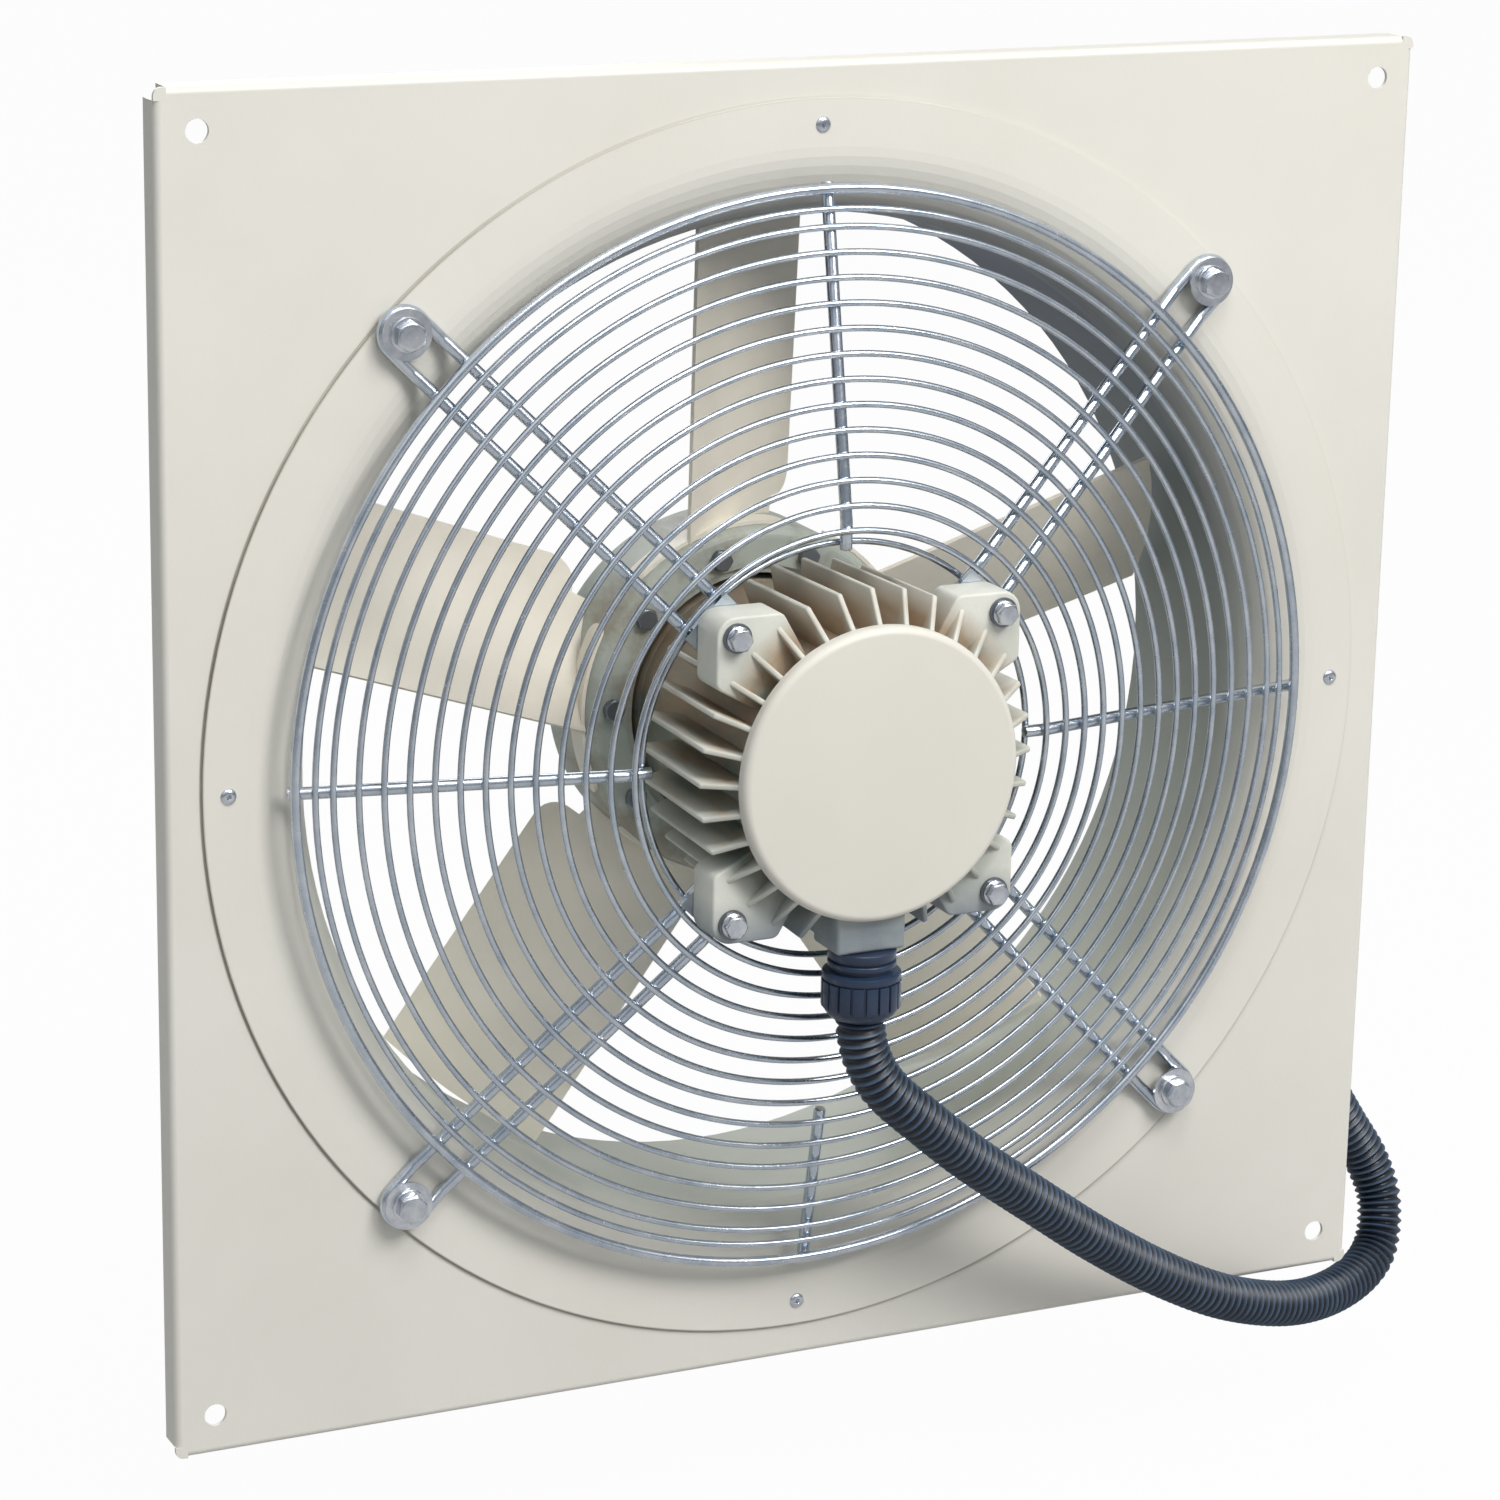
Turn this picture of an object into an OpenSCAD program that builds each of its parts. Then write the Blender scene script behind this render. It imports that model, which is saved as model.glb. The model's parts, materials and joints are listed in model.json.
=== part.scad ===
// Wall exhaust fan: a square wall plate with an inlet ring, a wire guard that
// carries a finned motor in front of the plate, a five-bladed impeller in the
// duct behind it, and a corrugated hose for the motor lead.
//
// Most pieces are drawn as seen from the front: x to the right, y up, and z
// towards the viewer, with z = 0 on the plate's front face. upright() then
// turns them so that z is up and the front of the fan looks along -y.

/* [Wall plate] */
// Side of the square wall plate
plate_side = 655; // [600:1:720]
// Distance from the plate's edge in to the centre of a wall hole
wall_hole_inset = 20; // [17:0.5:24]
// Diameter of a wall hole
wall_hole_d = 11; // [8:0.5:13]
// Thickness of the plate's sheet
plate_t = 2; // [1.5:0.25:2.5]
// Depth of the folded edge, from the plate's front to the wall
fold_depth = 15; // [10:1:22]
// Outer radius of the fold
fold_r = 3.5; // [3:0.5:5]
// Length left open at each corner between two folds
corner_relief = 6; // [5.5:0.5:12]
// Radius of the plate's corners
corner_r = 4; // [3:0.5:5]

/* [Inlet ring] */
// Border of the plate, from the flared mouth to the plate's edge
border_w = 40.5; // [38:0.5:48]
// Width of the flared mouth, from the duct to the flat land
mouth_w = 35; // [30:1:38]
// Depth of the flared mouth behind the plate's front
mouth_depth = 30; // [24:1:40]
// Width of the ring's flat land on the plate
land_w = 23; // [21:1:28]
// Depth of the duct behind the plate's front
duct_depth = 120; // [116:1:150]
// Thickness of the ring's sheet
ring_t = 1.5; // [1:0.25:2]
// Width of the turned-out rear edge
rear_lip_w = 6; // [3:1:10]
// Distance of the rivets from the mouth's edge
rivet_offset = 10.5; // [8:0.5:13]
// Diameter of a rivet's shank
rivet_d = 4; // [3:0.5:5]

/* [Guard] */
// Distance of the guard's bolts from the mouth's edge
eye_offset = 12.5; // [12:0.5:14]
// Gap from the mouth's edge in to the guard's thick outer ring
outer_ring_inset = 18; // [14:1:20]
// Wire diameter of the outer ring
outer_wire_d = 5; // [4:0.5:7]
// Wire diameter of the thin rings
ring_wire_d = 3.2; // [2:0.2:3.6]
// Distance from the outer ring in to the last thin ring, centre to centre
last_ring_gap = 9.5; // [8.5:0.5:11]
// Number of thin rings on the front of the rods
ring_count = 14; // [8:1:18]
// Diameter of the rods
rod_d = 6; // [5:0.5:7]
// Distance between the two legs of a support, centre to centre
leg_spacing = 21; // [20.5:0.5:24]
// Slope of the guard towards the motor, in degrees
guard_angle = 10.5; // [8:0.5:14]
// Radius at which the short bottom rod ends
short_rod_r = 187; // [150:1:220]
// Thickness of the pads that carry the motor
pad_t = 3; // [2:0.5:4]
// Thread diameter of the guard's bolts and of the hub's shaft bolt
bolt_d = 8; // [6:1:8]

/* [Motor] */
// Height of the fins over the barrel, at their front
fin_height = 22; // [18:1:25]
// Number of fins
fin_count = 32; // [24:4:36]
// Thickness of a fin
fin_t = 2.8; // [2:0.2:3.4]
// Length of the fins
fin_len = 85; // [70:1:90]
// Distance of the lug bolts from the fins
lug_offset = 11; // [10:0.5:12]
// Thickness of a lug
lug_t = 23; // [16:1:28]
// Thread diameter of the bolts through the lugs
lug_bolt_d = 6; // [5:0.5:6]
// Rise of the fins in front of the lugs
nose_rise = 10; // [8:1:14]
// Radius of the finned barrel
barrel_r = 66; // [60:0.5:70]
// Step from the finned barrel down to the plain one behind it
rear_step = 4; // [3:0.5:5]
// Wall of the finned barrel round the stator
stator_wall = 9; // [8:0.5:11]
// Length of the stator's core
stator_len = 60; // [50:1:66]
// Radius of the rotor's core
rotor_r = 33; // [30:0.5:35]
// Air gap between rotor and stator
air_gap = 0.5; // [0.4:0.1:0.8]
// Depth of the chamber under the front cap
chamber_depth = 20; // [19:1:24]
// Width by which the front cap stands out over the barrel
cap_overhang = 6.5; // [5:0.5:9]
// Height of the front cap
cap_len = 7; // [5:0.5:10]
// Rounding of the cap's front edge
cap_edge_r = 4; // [2:0.5:4.5]
// Radius of the shaft in its bearings
journal_r = 10; // [9:0.5:10]

/* [Impeller] */
// Gap between the blade tips and the duct
tip_gap = 5; // [3:0.5:8]
// Distance from the fins' rear end to the hub's front
hub_setback = 52; // [50:1:56]
// Gap round the motor's rear end in the hub
hub_gap = 4; // [3:0.5:6]
// Width of the blade ring's front flange
flange_w = 20; // [19:0.5:24]
// Axial length of the blade ring
hub_len = 52; // [46:1:54]
// Thickness of the hub's sheet
hub_t = 2.5; // [2:0.25:3]
// Thickness of a blade
blade_t = 2; // [1.5:0.25:3]
// Pitch of the blades, in degrees from the plane in which they turn
blade_pitch = 33.5; // [26:0.5:38]
// Width of a blade at the hub
blade_root_w = 90; // [76:1:94]
// Width of a blade at its tip
blade_tip_w = 93; // [80:1:98]
// Radius to which the blades are curved across their width
blade_camber_r = 260; // [200:5:500]
// Distance of the hub bolts from the flange's inner edge
hub_bolt_inset = 7.5; // [7:0.5:9]
// Thread diameter of the hub bolts
hub_bolt_d = 6; // [5:0.5:6]

/* [Hose and its fittings] */
// Outer diameter of the corrugated hose
hose_d = 24.5; // [22:0.5:28]
// Depth of the hose's ribs
rib_depth = 1.6; // [1:0.1:2]
// Wall of the hose under the ribs
hose_wall = 1.4; // [1:0.1:1.8]
// Number of ribs
rib_count = 170; // [100:1:200]
// Distance of the gland's seat beyond the fins
gland_standoff = 2; // [1:0.5:5]
// Length of a fitting's collar
collar_len = 11; // [9:0.5:12]
// Length of a fitting's ribbed nut
nut_len = 24; // [20:0.5:26]
// Number of grips round a fitting's nut
grip_count = 20; // [12:1:24]

/* [Hidden] */
// Number of segments for a full turn
$fn = 96;
running_gap = 0.05;
press_gap = 0.02;
weld_sink = 0.2;
hole_clearance = 0.2;

// Plate and inlet ring
wall_hole_spacing = plate_side - 2 * wall_hole_inset;
mouth_r = plate_side / 2 - border_w;
duct_r = mouth_r - mouth_w;
ring_r = mouth_r + land_w;
rivet_circle_r = mouth_r + rivet_offset;
cutout_r = mouth_r + ring_t + 1;

// Motor and hub: radii
fin_r = barrel_r + fin_height;
cap_r = barrel_r + cap_overhang;
stator_r = barrel_r - stator_wall;
rear_barrel_r = barrel_r - rear_step;
gland_reach = fin_r + gland_standoff;
cup_r = rear_barrel_r + hub_gap;
flange_in_r = cup_r + 4;
hub_r = flange_in_r + flange_w;
hub_bolt_circle_r = flange_in_r + hub_bolt_inset;

// Guard: heights of the rods' centre lines above the plate
eye_circle_r = mouth_r + eye_offset;
eye_h = ring_t + rod_d / 2;
slope_start_r = eye_circle_r - 15.5;
outer_ring_r = mouth_r - outer_ring_inset;
lug_circle_r = fin_r + lug_offset;
slope_end_r = lug_circle_r + 14;
leg_end_r = fin_r + 2;
inner_ring_r = lug_circle_r + 11;
rear_ring_r = lug_circle_r + 4;
rod_end_r = rear_ring_r - 3;
slope_rise = round(10 * (slope_start_r - slope_end_r) * tan(guard_angle)) / 10;
function rod_h(r) = eye_h + slope_rise * (slope_start_r - max(r, slope_end_r)) / (slope_start_r - slope_end_r);
function wire_seat(wire_d) = (rod_d + wire_d) / 2 / cos(guard_angle) - weld_sink;
leg_flat_h = rod_h(slope_end_r);
last_ring_r = outer_ring_r - last_ring_gap;
edge_squeeze = 3.5;
ring_pitch = (last_ring_r + edge_squeeze - inner_ring_r) / (ring_count - 1);
ring_radii = concat([for (i = [0:ring_count - 2]) inner_ring_r + i * ring_pitch], [last_ring_r]);

// Motor: heights from the plate's front, the viewer's side positive
pad_top = leg_flat_h + rod_d / 2 + pad_t;
lug_front = pad_top + lug_t;
fin_front = lug_front + nose_rise;
fin_back = fin_front - fin_len;
seal_t = 1;
barrel_front = fin_front - seal_t;
chamber_r = stator_r + 3;
chamber_back = barrel_front - chamber_depth;
wall_t = 6;
bearing_w = 14;
bearing_r = journal_r + 13.5;
race_in_r = journal_r + 3.6;
race_out_r = bearing_r - 3.5;
ball_r = (race_out_r - race_in_r - running_gap) / 2;
wave_t = 1.5;
front_bearing_top = chamber_back - wall_t - wave_t;
front_bearing_end = front_bearing_top - bearing_w;
overhang = 16;
stator_top = front_bearing_end - overhang - 1.5;
stator_end = stator_top - stator_len;
barrel_back = stator_end - overhang - 3;
shield_wall_t = 4;
rear_bearing_top = barrel_back + 4;
rear_bearing_end = rear_bearing_top - bearing_w;
shield_back = rear_bearing_end - shield_wall_t;
pocket_r = bearing_r + 4.5;

// Impeller
hub_front = fin_back - hub_setback;
hub_back = hub_front - hub_len;
tip_r = duct_r - tip_gap;
blade_mid = hub_front - 28;
cup_t = 2;
cup_back = hub_back + 6;
boss_r = 20;
boss_front = shield_back - 10;
boss_back = hub_back + 2;
hub_seat_r = journal_r - 0.5;
shaft_top = front_bearing_top - 0.5;
shaft_end = boss_back + 1;
first_blade_angle = 15.6;
foot_angles = [-9, 47];
hub_bolt_shift = 17.5;

// Fasteners
nut_af = 1.625 * bolt_d;
head_h = 0.66 * bolt_d;
washer_t = 1.6;
lug_nut_af = lug_bolt_d * 5 / 3;
lug_nut_h = 0.8 * lug_bolt_d;
lug_head_h = 0.66 * lug_bolt_d + 1.2;
hub_nut_af = hub_bolt_d * 5 / 3;

// Hose: the points that its centre line follows, in millimetres, upright
gland_h = barrel_front - chamber_depth / 2;
gland_end = gland_reach + collar_len + nut_len;
fitting_at = [290, 38, -34];
hose_route = [
    [0, -gland_h, -gland_end], [0.7, -gland_h, -gland_end - 9], [4, -gland_h, -gland_end - 21.5],
    [11.5, -64.5, -160.5], [21.5, -64, -171.5], [35, -62.5, -183.5], [66.5, -57, -210.5], [109.5, -48, -243],
    [153, -39, -275], [197.5, -29, -304], [243.5, -19.5, -328], [293.5, -4, -345], [337, 15, -349.5],
    [366, 30, -340], [375.5, 41, -316], [370, 47, -293], [354, 48, -268], [336, 46, -240], [318, 43, -205],
    [304, 40, -168], [295, 38, -130], [291, 38, -94], [290, 38, -60], [290, 38, -47],
    fitting_at
];
hose_r = hose_d / 2;
valley_r = hose_r - rib_depth;
bore_r = valley_r - hose_wall;
hose_sides = 8;
gland_spigot_r = 8.5;
thread_r = 15.9;
fitting_wall = 2.5;
nut_r = hose_r + 7.5;
collar_r = hose_r + 4.5;

// Colours
paint = [0.88, 0.87, 0.82];
zinc = [0.66, 0.71, 0.77];
cast = [0.84, 0.83, 0.76];
sheet = [0.76, 0.73, 0.65];
nylon = [0.13, 0.16, 0.22];
rubber_black = [0.09, 0.09, 0.10];
steel = [0.62, 0.63, 0.65];
copper = [0.72, 0.42, 0.22];
laminate = [0.45, 0.46, 0.48];

// Turns a piece drawn as seen from the front upright
module upright() rotate([90, 0, 0]) children();

// Places children at each angle on a circle
module on_circle(r, angles) for (a = angles) rotate([0, 0, a]) translate([r, 0, 0]) children();

// A disc or cylinder between two heights
module slab(r, low, high) translate([0, 0, low]) cylinder(r = r, h = high - low);

// A ring between two radii and two heights
module ring(inner, outer, low, high) {
    difference() {
        slab(outer, low, high);
        slab(inner, low - 1, high + 1);
    }
}

// A hexagonal prism between two heights, flats facing x
module hexagon(af, low, high) {
    translate([0, 0, low]) rotate([0, 0, 30]) cylinder(d = af / cos(30), h = high - low, $fn = 6);
}

// Points of an arc
function arc(c, rx, ry, a0, a1, n = 12) =
    [for (i = [0:n]) let (a = a0 + (a1 - a0) * i / n) c + [rx * cos(a), ry * sin(a)]];

// A round wire ring
module wire_ring(r, h, d) translate([0, 0, h]) rotate_extrude() translate([r, 0]) circle(d = d, $fn = 24);

// A straight rod from radius r0 at height h0 in to r1 at h1
module rod_run(r0, h0, r1, h1, d) {
    length = norm([r0 - r1, h1 - h0]);
    translate([r0, 0, h0]) rotate([0, -90 + atan2(h1 - h0, r0 - r1), 0]) cylinder(d = d, h = length, $fn = 32);
}

wall_holes = [for (x = [-1, 1], y = [-1, 1]) [x, y] * wall_hole_spacing / 2];
axis_angles = [0, 90, 180, 270];
diagonal_angles = [45, 135, 225, 315];

// Fold of one side, drawn from the plate's edge inwards
module fold_profile() {
    polygon(concat(
        arc([-fold_r, -fold_r], fold_r, fold_r, 90, 0, 8),
        [[0, -fold_depth], [-plate_t, -fold_depth]],
        arc([-fold_r, -fold_r], fold_r - plate_t, fold_r - plate_t, 0, 90, 8)
    ));
}

module plate_corner() {
    s = plate_side / 2;
    polygon(concat(
        [[s - corner_relief - 1, s - corner_relief - 1], [s, s - corner_relief - 1]],
        arc([s - corner_r, s - corner_r], corner_r, corner_r, 0, 90, 8),
        [[s - corner_relief - 1, s]]
    ));
}

module mounting_plate() color(paint) upright() difference() {
    union() {
        flat = plate_side - 2 * fold_r;
        translate([0, 0, -plate_t / 2]) cube([flat, flat, plate_t], center = true);
        for (a = axis_angles) rotate([0, 0, a]) {
            difference() {
                translate([0, 0, -plate_t]) linear_extrude(plate_t) plate_corner();
                fold_gap();
                rotate([0, 0, 90]) mirror([0, 1, 0]) fold_gap();
            }
            translate([plate_side / 2, plate_side / 2 - corner_relief, 0]) rotate([90, 0, 0])
                linear_extrude(plate_side - 2 * corner_relief) fold_profile();
        }
    }
    slab(cutout_r, -plate_t - 1, 1);
    for (p = wall_holes) translate(p) slab(wall_hole_d / 2, -plate_t - 1, 1);
    on_circle(rivet_circle_r, axis_angles) slab(rivet_d / 2 + running_gap, -plate_t - 1, 1);
    on_circle(eye_circle_r, diagonal_angles) slab(bolt_d / 2 + hole_clearance, -plate_t - 1, 1);
}

// Keeps a corner's flat patch out of the rounded fold beside it
module fold_gap() {
    translate([plate_side / 2 - fold_r, plate_side / 2 - corner_relief - 2, -plate_t - 1])
        cube([fold_r + 1, 2, plate_t + 2]);
}

module inlet_ring() color(paint) upright() difference() {
    rotate_extrude() polygon(concat(
        [[ring_r, 0], [ring_r, ring_t]],
        arc([mouth_r, -mouth_depth], mouth_w, mouth_depth + ring_t, 90, 180),
        [[duct_r, -duct_depth], [duct_r + ring_t + rear_lip_w, -duct_depth],
         [duct_r + ring_t + rear_lip_w, -duct_depth + ring_t], [duct_r + ring_t, -duct_depth + ring_t]],
        arc([mouth_r, -mouth_depth], mouth_w - ring_t, mouth_depth, 180, 90)
    ));
    on_circle(rivet_circle_r, axis_angles) slab(rivet_d / 2 + running_gap, -1, ring_t + 1);
    on_circle(eye_circle_r, diagonal_angles) slab(bolt_d / 2 + hole_clearance, -1, ring_t + 1);
}

// Blind rivets, with their hollow mandrel hole in the head
module ring_rivets() color(zinc) upright() on_circle(rivet_circle_r, axis_angles) difference() {
    union() {
        slab(rivet_d, ring_t, ring_t + 0.7);
        slab(rivet_d * 0.8, ring_t + 0.7, ring_t + 1.3);
        slab(rivet_d / 2, -plate_t, ring_t);
        slab(rivet_d * 0.75, -plate_t - 3, -plate_t);
    }
    slab(rivet_d / 4, ring_t - 1, ring_t + 2);
}

module guard_outer_ring() color(zinc) upright() {
    wire_ring(outer_ring_r, rod_h(outer_ring_r) + wire_seat(outer_wire_d), outer_wire_d);
}

// The thin rings in front of the rods, and the one behind their inner ends
module guard_rings() color(zinc) upright() {
    for (r = ring_radii) wire_ring(r, rod_h(r) + wire_seat(ring_wire_d), ring_wire_d);
    wire_ring(rear_ring_r, leg_flat_h - (rod_d + ring_wire_d) / 2 + weld_sink, ring_wire_d);
}

// A bend in a rod, a touch thicker than the rod and turned so that its poles lie clear of it
bend_swell = 0.1;
module rod_bend(r, h) translate([r, 0, h]) rotate([50, 35, 20]) sphere(d = rod_d + bend_swell, $fn = 32);

// The bend at the slope's inner end, and the flat run from it to the rod's end
module rod_inner_end(end_r) {
    rod_bend(slope_end_r, leg_flat_h);
    rod_run(slope_end_r, leg_flat_h, end_r, leg_flat_h, rod_d);
}

// One rod from the outer ring to its inner end, flat past the end of the slope
module guard_rod(end_r) {
    start_r = outer_ring_r + outer_wire_d / 2;
    slope_r = max(end_r, slope_end_r);
    rod_run(start_r, rod_h(start_r), slope_r, rod_h(slope_r), rod_d);
    if (end_r < slope_end_r) rod_inner_end(end_r);
}

module guard_radial_rods() color(zinc) upright() {
    for (a = [0, 90, 180]) rotate([0, 0, a]) guard_rod(rod_end_r);
    rotate([0, 0, 270]) guard_rod(short_rod_r);
}

// Hairpins: round each guard bolt and in along both sides of the motor's lug
module guard_support_rods() color(zinc) upright() for (a = diagonal_angles) rotate([0, 0, a]) {
    translate([eye_circle_r, 0, eye_h]) rotate([0, 0, -90]) rotate_extrude(angle = 180)
        translate([leg_spacing / 2, 0]) circle(d = rod_d, $fn = 32);
    for (side = [-1, 1]) translate([0, side * leg_spacing / 2, 0]) {
        rod_bend(eye_circle_r, eye_h);
        rod_run(eye_circle_r, eye_h, slope_start_r, eye_h, rod_d);
        rod_bend(slope_start_r, eye_h);
        rod_run(slope_start_r, eye_h, slope_end_r, leg_flat_h, rod_d);
        rod_inner_end(leg_end_r);
    }
}

// Small plates welded across the legs, under the motor's lugs
module guard_motor_pads() color(zinc) upright() for (a = diagonal_angles) rotate([0, 0, a]) difference() {
    pad_w = leg_spacing + rod_d + 2;
    pad_end_r = sqrt(pow(inner_ring_r - ring_wire_d / 2 - 0.3, 2) - pow(pad_w / 2, 2));
    translate([leg_end_r, -pad_w / 2, pad_top - pad_t]) cube([pad_end_r - leg_end_r, pad_w, pad_t]);
    translate([lug_circle_r, 0, 0]) slab(lug_bolt_d / 2 + hole_clearance, pad_top - pad_t - 1, pad_top + 1);
}

// Flanged hexagon bolt along z, its head standing on the height given
module flange_bolt(seat, end, d, af, flange_r, head) {
    slab(d / 2, end, seat);
    slab(flange_r, seat, seat + 1.2);
    intersection() {
        hexagon(af, seat + 1.2, seat + head);
        slab(af / 2 + 0.6, seat + 1.2, seat + head);
    }
}

guard_washer_seat = ring_t + rod_d;
module guard_bolts() color(zinc) upright() on_circle(eye_circle_r, diagonal_angles) {
    flange_bolt(guard_washer_seat + washer_t, -plate_t - 9.5, bolt_d, nut_af, 1.05 * bolt_d, head_h + 1.2);
}

module guard_washers() color(zinc) upright() on_circle(eye_circle_r, diagonal_angles) {
    ring(bolt_d / 2 + hole_clearance, 1.5 * bolt_d, guard_washer_seat, guard_washer_seat + washer_t);
}

module hex_nut(af, bore, low, high) difference() {
    hexagon(af, low, high);
    slab(bore, low - 1, high + 1);
}

module guard_nuts() color(zinc) upright() on_circle(eye_circle_r, diagonal_angles) {
    hex_nut(nut_af, bolt_d / 2 + running_gap, -plate_t - 6.5, -plate_t);
}

// One fin, seen from its side: a chamfered front corner and a slight taper
module fin() rotate([90, 0, 0]) linear_extrude(fin_t, center = true) polygon([
    [barrel_r - 2, fin_back], [fin_r - 2, fin_back], [fin_r, lug_front], [cap_r - 1, fin_front],
    [barrel_r + 0.5, fin_front], [barrel_r + 0.5, barrel_front - 1], [barrel_r - 2, barrel_front - 1]
]);

// Outline of a lug: a rounded corner with its edges along the plate's, drawn in along two fins
lug_tip_r = 10;
lug_edge = 24;
lug_corner_r = 5;
module lug_outline() {
    shoulder = [lug_circle_r + (lug_tip_r - lug_edge) * cos(45), (lug_tip_r + lug_edge) * sin(45)];
    side_angle = atan2(shoulder.y, shoulder.x);
    cut = lug_corner_r * tan((45 + side_angle) / 2);
    centre = shoulder + (cut - lug_corner_r) * [cos(45), 0] - (cut + lug_corner_r) * [0, sin(45)];
    corner = arc(centre, lug_corner_r, lug_corner_r, 45, 90 + side_angle, 6);
    root_r = barrel_r - 4;
    root = shoulder.y * root_r / shoulder.x;
    polygon(concat(
        arc([lug_circle_r, 0], lug_tip_r, lug_tip_r, -45, 45, 12),
        corner, [[root_r, root], [root_r, -root]],
        [for (i = [6:-1:0]) [corner[i].x, -corner[i].y]]
    ));
}

gland_boss_w = 2 * collar_r + 3;
shoulder_w = 1.5;
module housing_solid() {
    slab(barrel_r, fin_back - shoulder_w, barrel_front);
    slab(rear_barrel_r, barrel_back, fin_back);
    for (i = [0:fin_count - 1]) rotate([0, 0, i * 360 / fin_count]) fin_trimmed(i * 360 / fin_count);
    for (a = diagonal_angles) rotate([0, 0, a]) translate([0, 0, pad_top]) linear_extrude(lug_t) lug_outline();
    translate([-gland_boss_w / 2, -gland_reach, gland_h - collar_r - 0.5])
        cube([gland_boss_w, gland_reach - barrel_r + 12, barrel_front - (gland_h - collar_r - 0.5)]);
}

// A fin, left out where the gland's boss stands
module fin_trimmed(angle) {
    if (abs(angle - 270) > 5) fin();
}

module motor_housing() color(cast) upright() difference() {
    housing_solid();
    slab(chamber_r, chamber_back, barrel_front + 1);
    slab(bearing_r, front_bearing_end - 1, front_bearing_top + wave_t);
    difference() {
        slab(stator_r, barrel_back - 1, chamber_back - wall_t);
        slab(pocket_r, front_bearing_end, chamber_back);
    }
    on_circle(lug_circle_r, diagonal_angles) slab(lug_bolt_d / 2 + hole_clearance, pad_top - 1, lug_front + 1);
    translate([0, -gland_reach - 1, gland_h]) rotate([-90, 0, 0])
        cylinder(r = gland_spigot_r + running_gap, h = gland_reach + 1 - chamber_r / 2);
}

// Front cap: a shallow dish with a lip inside the chamber's mouth
module motor_cap() color(cast) upright() rotate_extrude() polygon(concat(
    [[0, fin_front + cap_len]],
    arc([cap_r - cap_edge_r, fin_front + cap_len - cap_edge_r], cap_edge_r, cap_edge_r, 90, 0, 8),
    [[cap_r, fin_front], [chamber_r - running_gap, fin_front], [chamber_r - running_gap, fin_front - 5],
     [chamber_r - 3, fin_front - 5], [chamber_r - 3, fin_front + cap_len - 2.5],
     [0, fin_front + cap_len - 2.5]]
));

module cap_seal() color(rubber_black) upright() ring(chamber_r + 0.5, barrel_r - 0.5, barrel_front, fin_front);

module rear_end_shield() color(cast) upright() difference() {
    union() {
        slab(rear_barrel_r, shield_back, barrel_back);
        slab(stator_r - running_gap, barrel_back, barrel_back + 3);
        slab(pocket_r, barrel_back, rear_bearing_top);
    }
    ring(pocket_r, stator_r - 4, barrel_back - 6, rear_bearing_top + 1);
    slab(bearing_r, rear_bearing_end, rear_bearing_top + 1);
    slab(journal_r + 1, shield_back - 1, rear_bearing_top + 1);
    on_circle(shield_screw_r, diagonal_angles) slab(2.6, shield_back - 1, barrel_back + 4);
}

// Cap screws that hold the rear shield, heads at the rear
shield_screw_r = (stator_r + rear_barrel_r) / 2 - 5;
module shield_screws() color(zinc) upright() on_circle(shield_screw_r, diagonal_angles) difference() {
    union() {
        slab(4, shield_back - 4, shield_back);
        slab(2.5, shield_back, barrel_back + 3);
    }
    hexagon(4, shield_back - 5, shield_back - 2);
}

module lug_bolts() color(zinc) upright() on_circle(lug_circle_r, diagonal_angles) {
    flange_bolt(lug_front + washer_t, pad_top - pad_t - lug_nut_h, lug_bolt_d, lug_nut_af, lug_bolt_d, lug_head_h);
}

module lug_washers() color(zinc) upright() on_circle(lug_circle_r, diagonal_angles) {
    ring(lug_bolt_d / 2 + hole_clearance, 1.2 * lug_bolt_d, lug_front, lug_front + washer_t);
}

module lug_nuts() color(zinc) upright() on_circle(lug_circle_r, diagonal_angles) rotate([0, 0, 30]) {
    hex_nut(lug_nut_af, lug_bolt_d / 2 + running_gap, pad_top - pad_t - lug_nut_h, pad_top - pad_t);
}

// Stator: a ring of laminations with slots for the windings
slot_count = 24;
slot_in = rotor_r + air_gap + 3;
slot_out = stator_r - 9;
slot_w = 4.6;
module stator_core() color(laminate) upright() difference() {
    ring(rotor_r + air_gap, stator_r, stator_end, stator_top);
    for (i = [0:slot_count - 1]) rotate([0, 0, (i + 0.5) * 360 / slot_count])
        translate([slot_in, -slot_w / 2, stator_end - 1]) cube([slot_out - slot_in, slot_w, stator_len + 2]);
}

module stator_windings() color(copper) upright() {
    for (low = [stator_top + 0.3, stator_end - overhang + 1.3])
        ring(slot_in + 0.3, slot_out + 2, low, low + overhang - 1.6);
    for (i = [0:slot_count - 1]) rotate([0, 0, (i + 0.5) * 360 / slot_count])
        translate([slot_in + 0.3, -slot_w / 2 + 0.2, stator_end - 0.5])
            cube([slot_out - slot_in - 0.6, slot_w - 0.4, stator_len + 1]);
}

module wave_washer() color(steel) upright() ring(journal_r + 7, bearing_r - 0.3, front_bearing_top, front_bearing_top + wave_t);

module bearing_outer(top) ring(race_out_r, bearing_r, top - bearing_w, top);
module bearing_inner(top) ring(journal_r + press_gap, race_in_r, top - bearing_w, top);

module front_bearing_outer() color(steel) upright() bearing_outer(front_bearing_top);
module rear_bearing_outer() color(steel) upright() bearing_outer(rear_bearing_top);
module front_bearing_inner() color(steel) upright() bearing_inner(front_bearing_top);
module rear_bearing_inner() color(steel) upright() bearing_inner(rear_bearing_top);

module bearing_balls() color(steel) upright() for (top = [front_bearing_top, rear_bearing_top])
    translate([0, 0, top - bearing_w / 2]) on_circle(race_in_r + ball_r, [0:45:315]) sphere(r = ball_r, $fn = 24);

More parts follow.
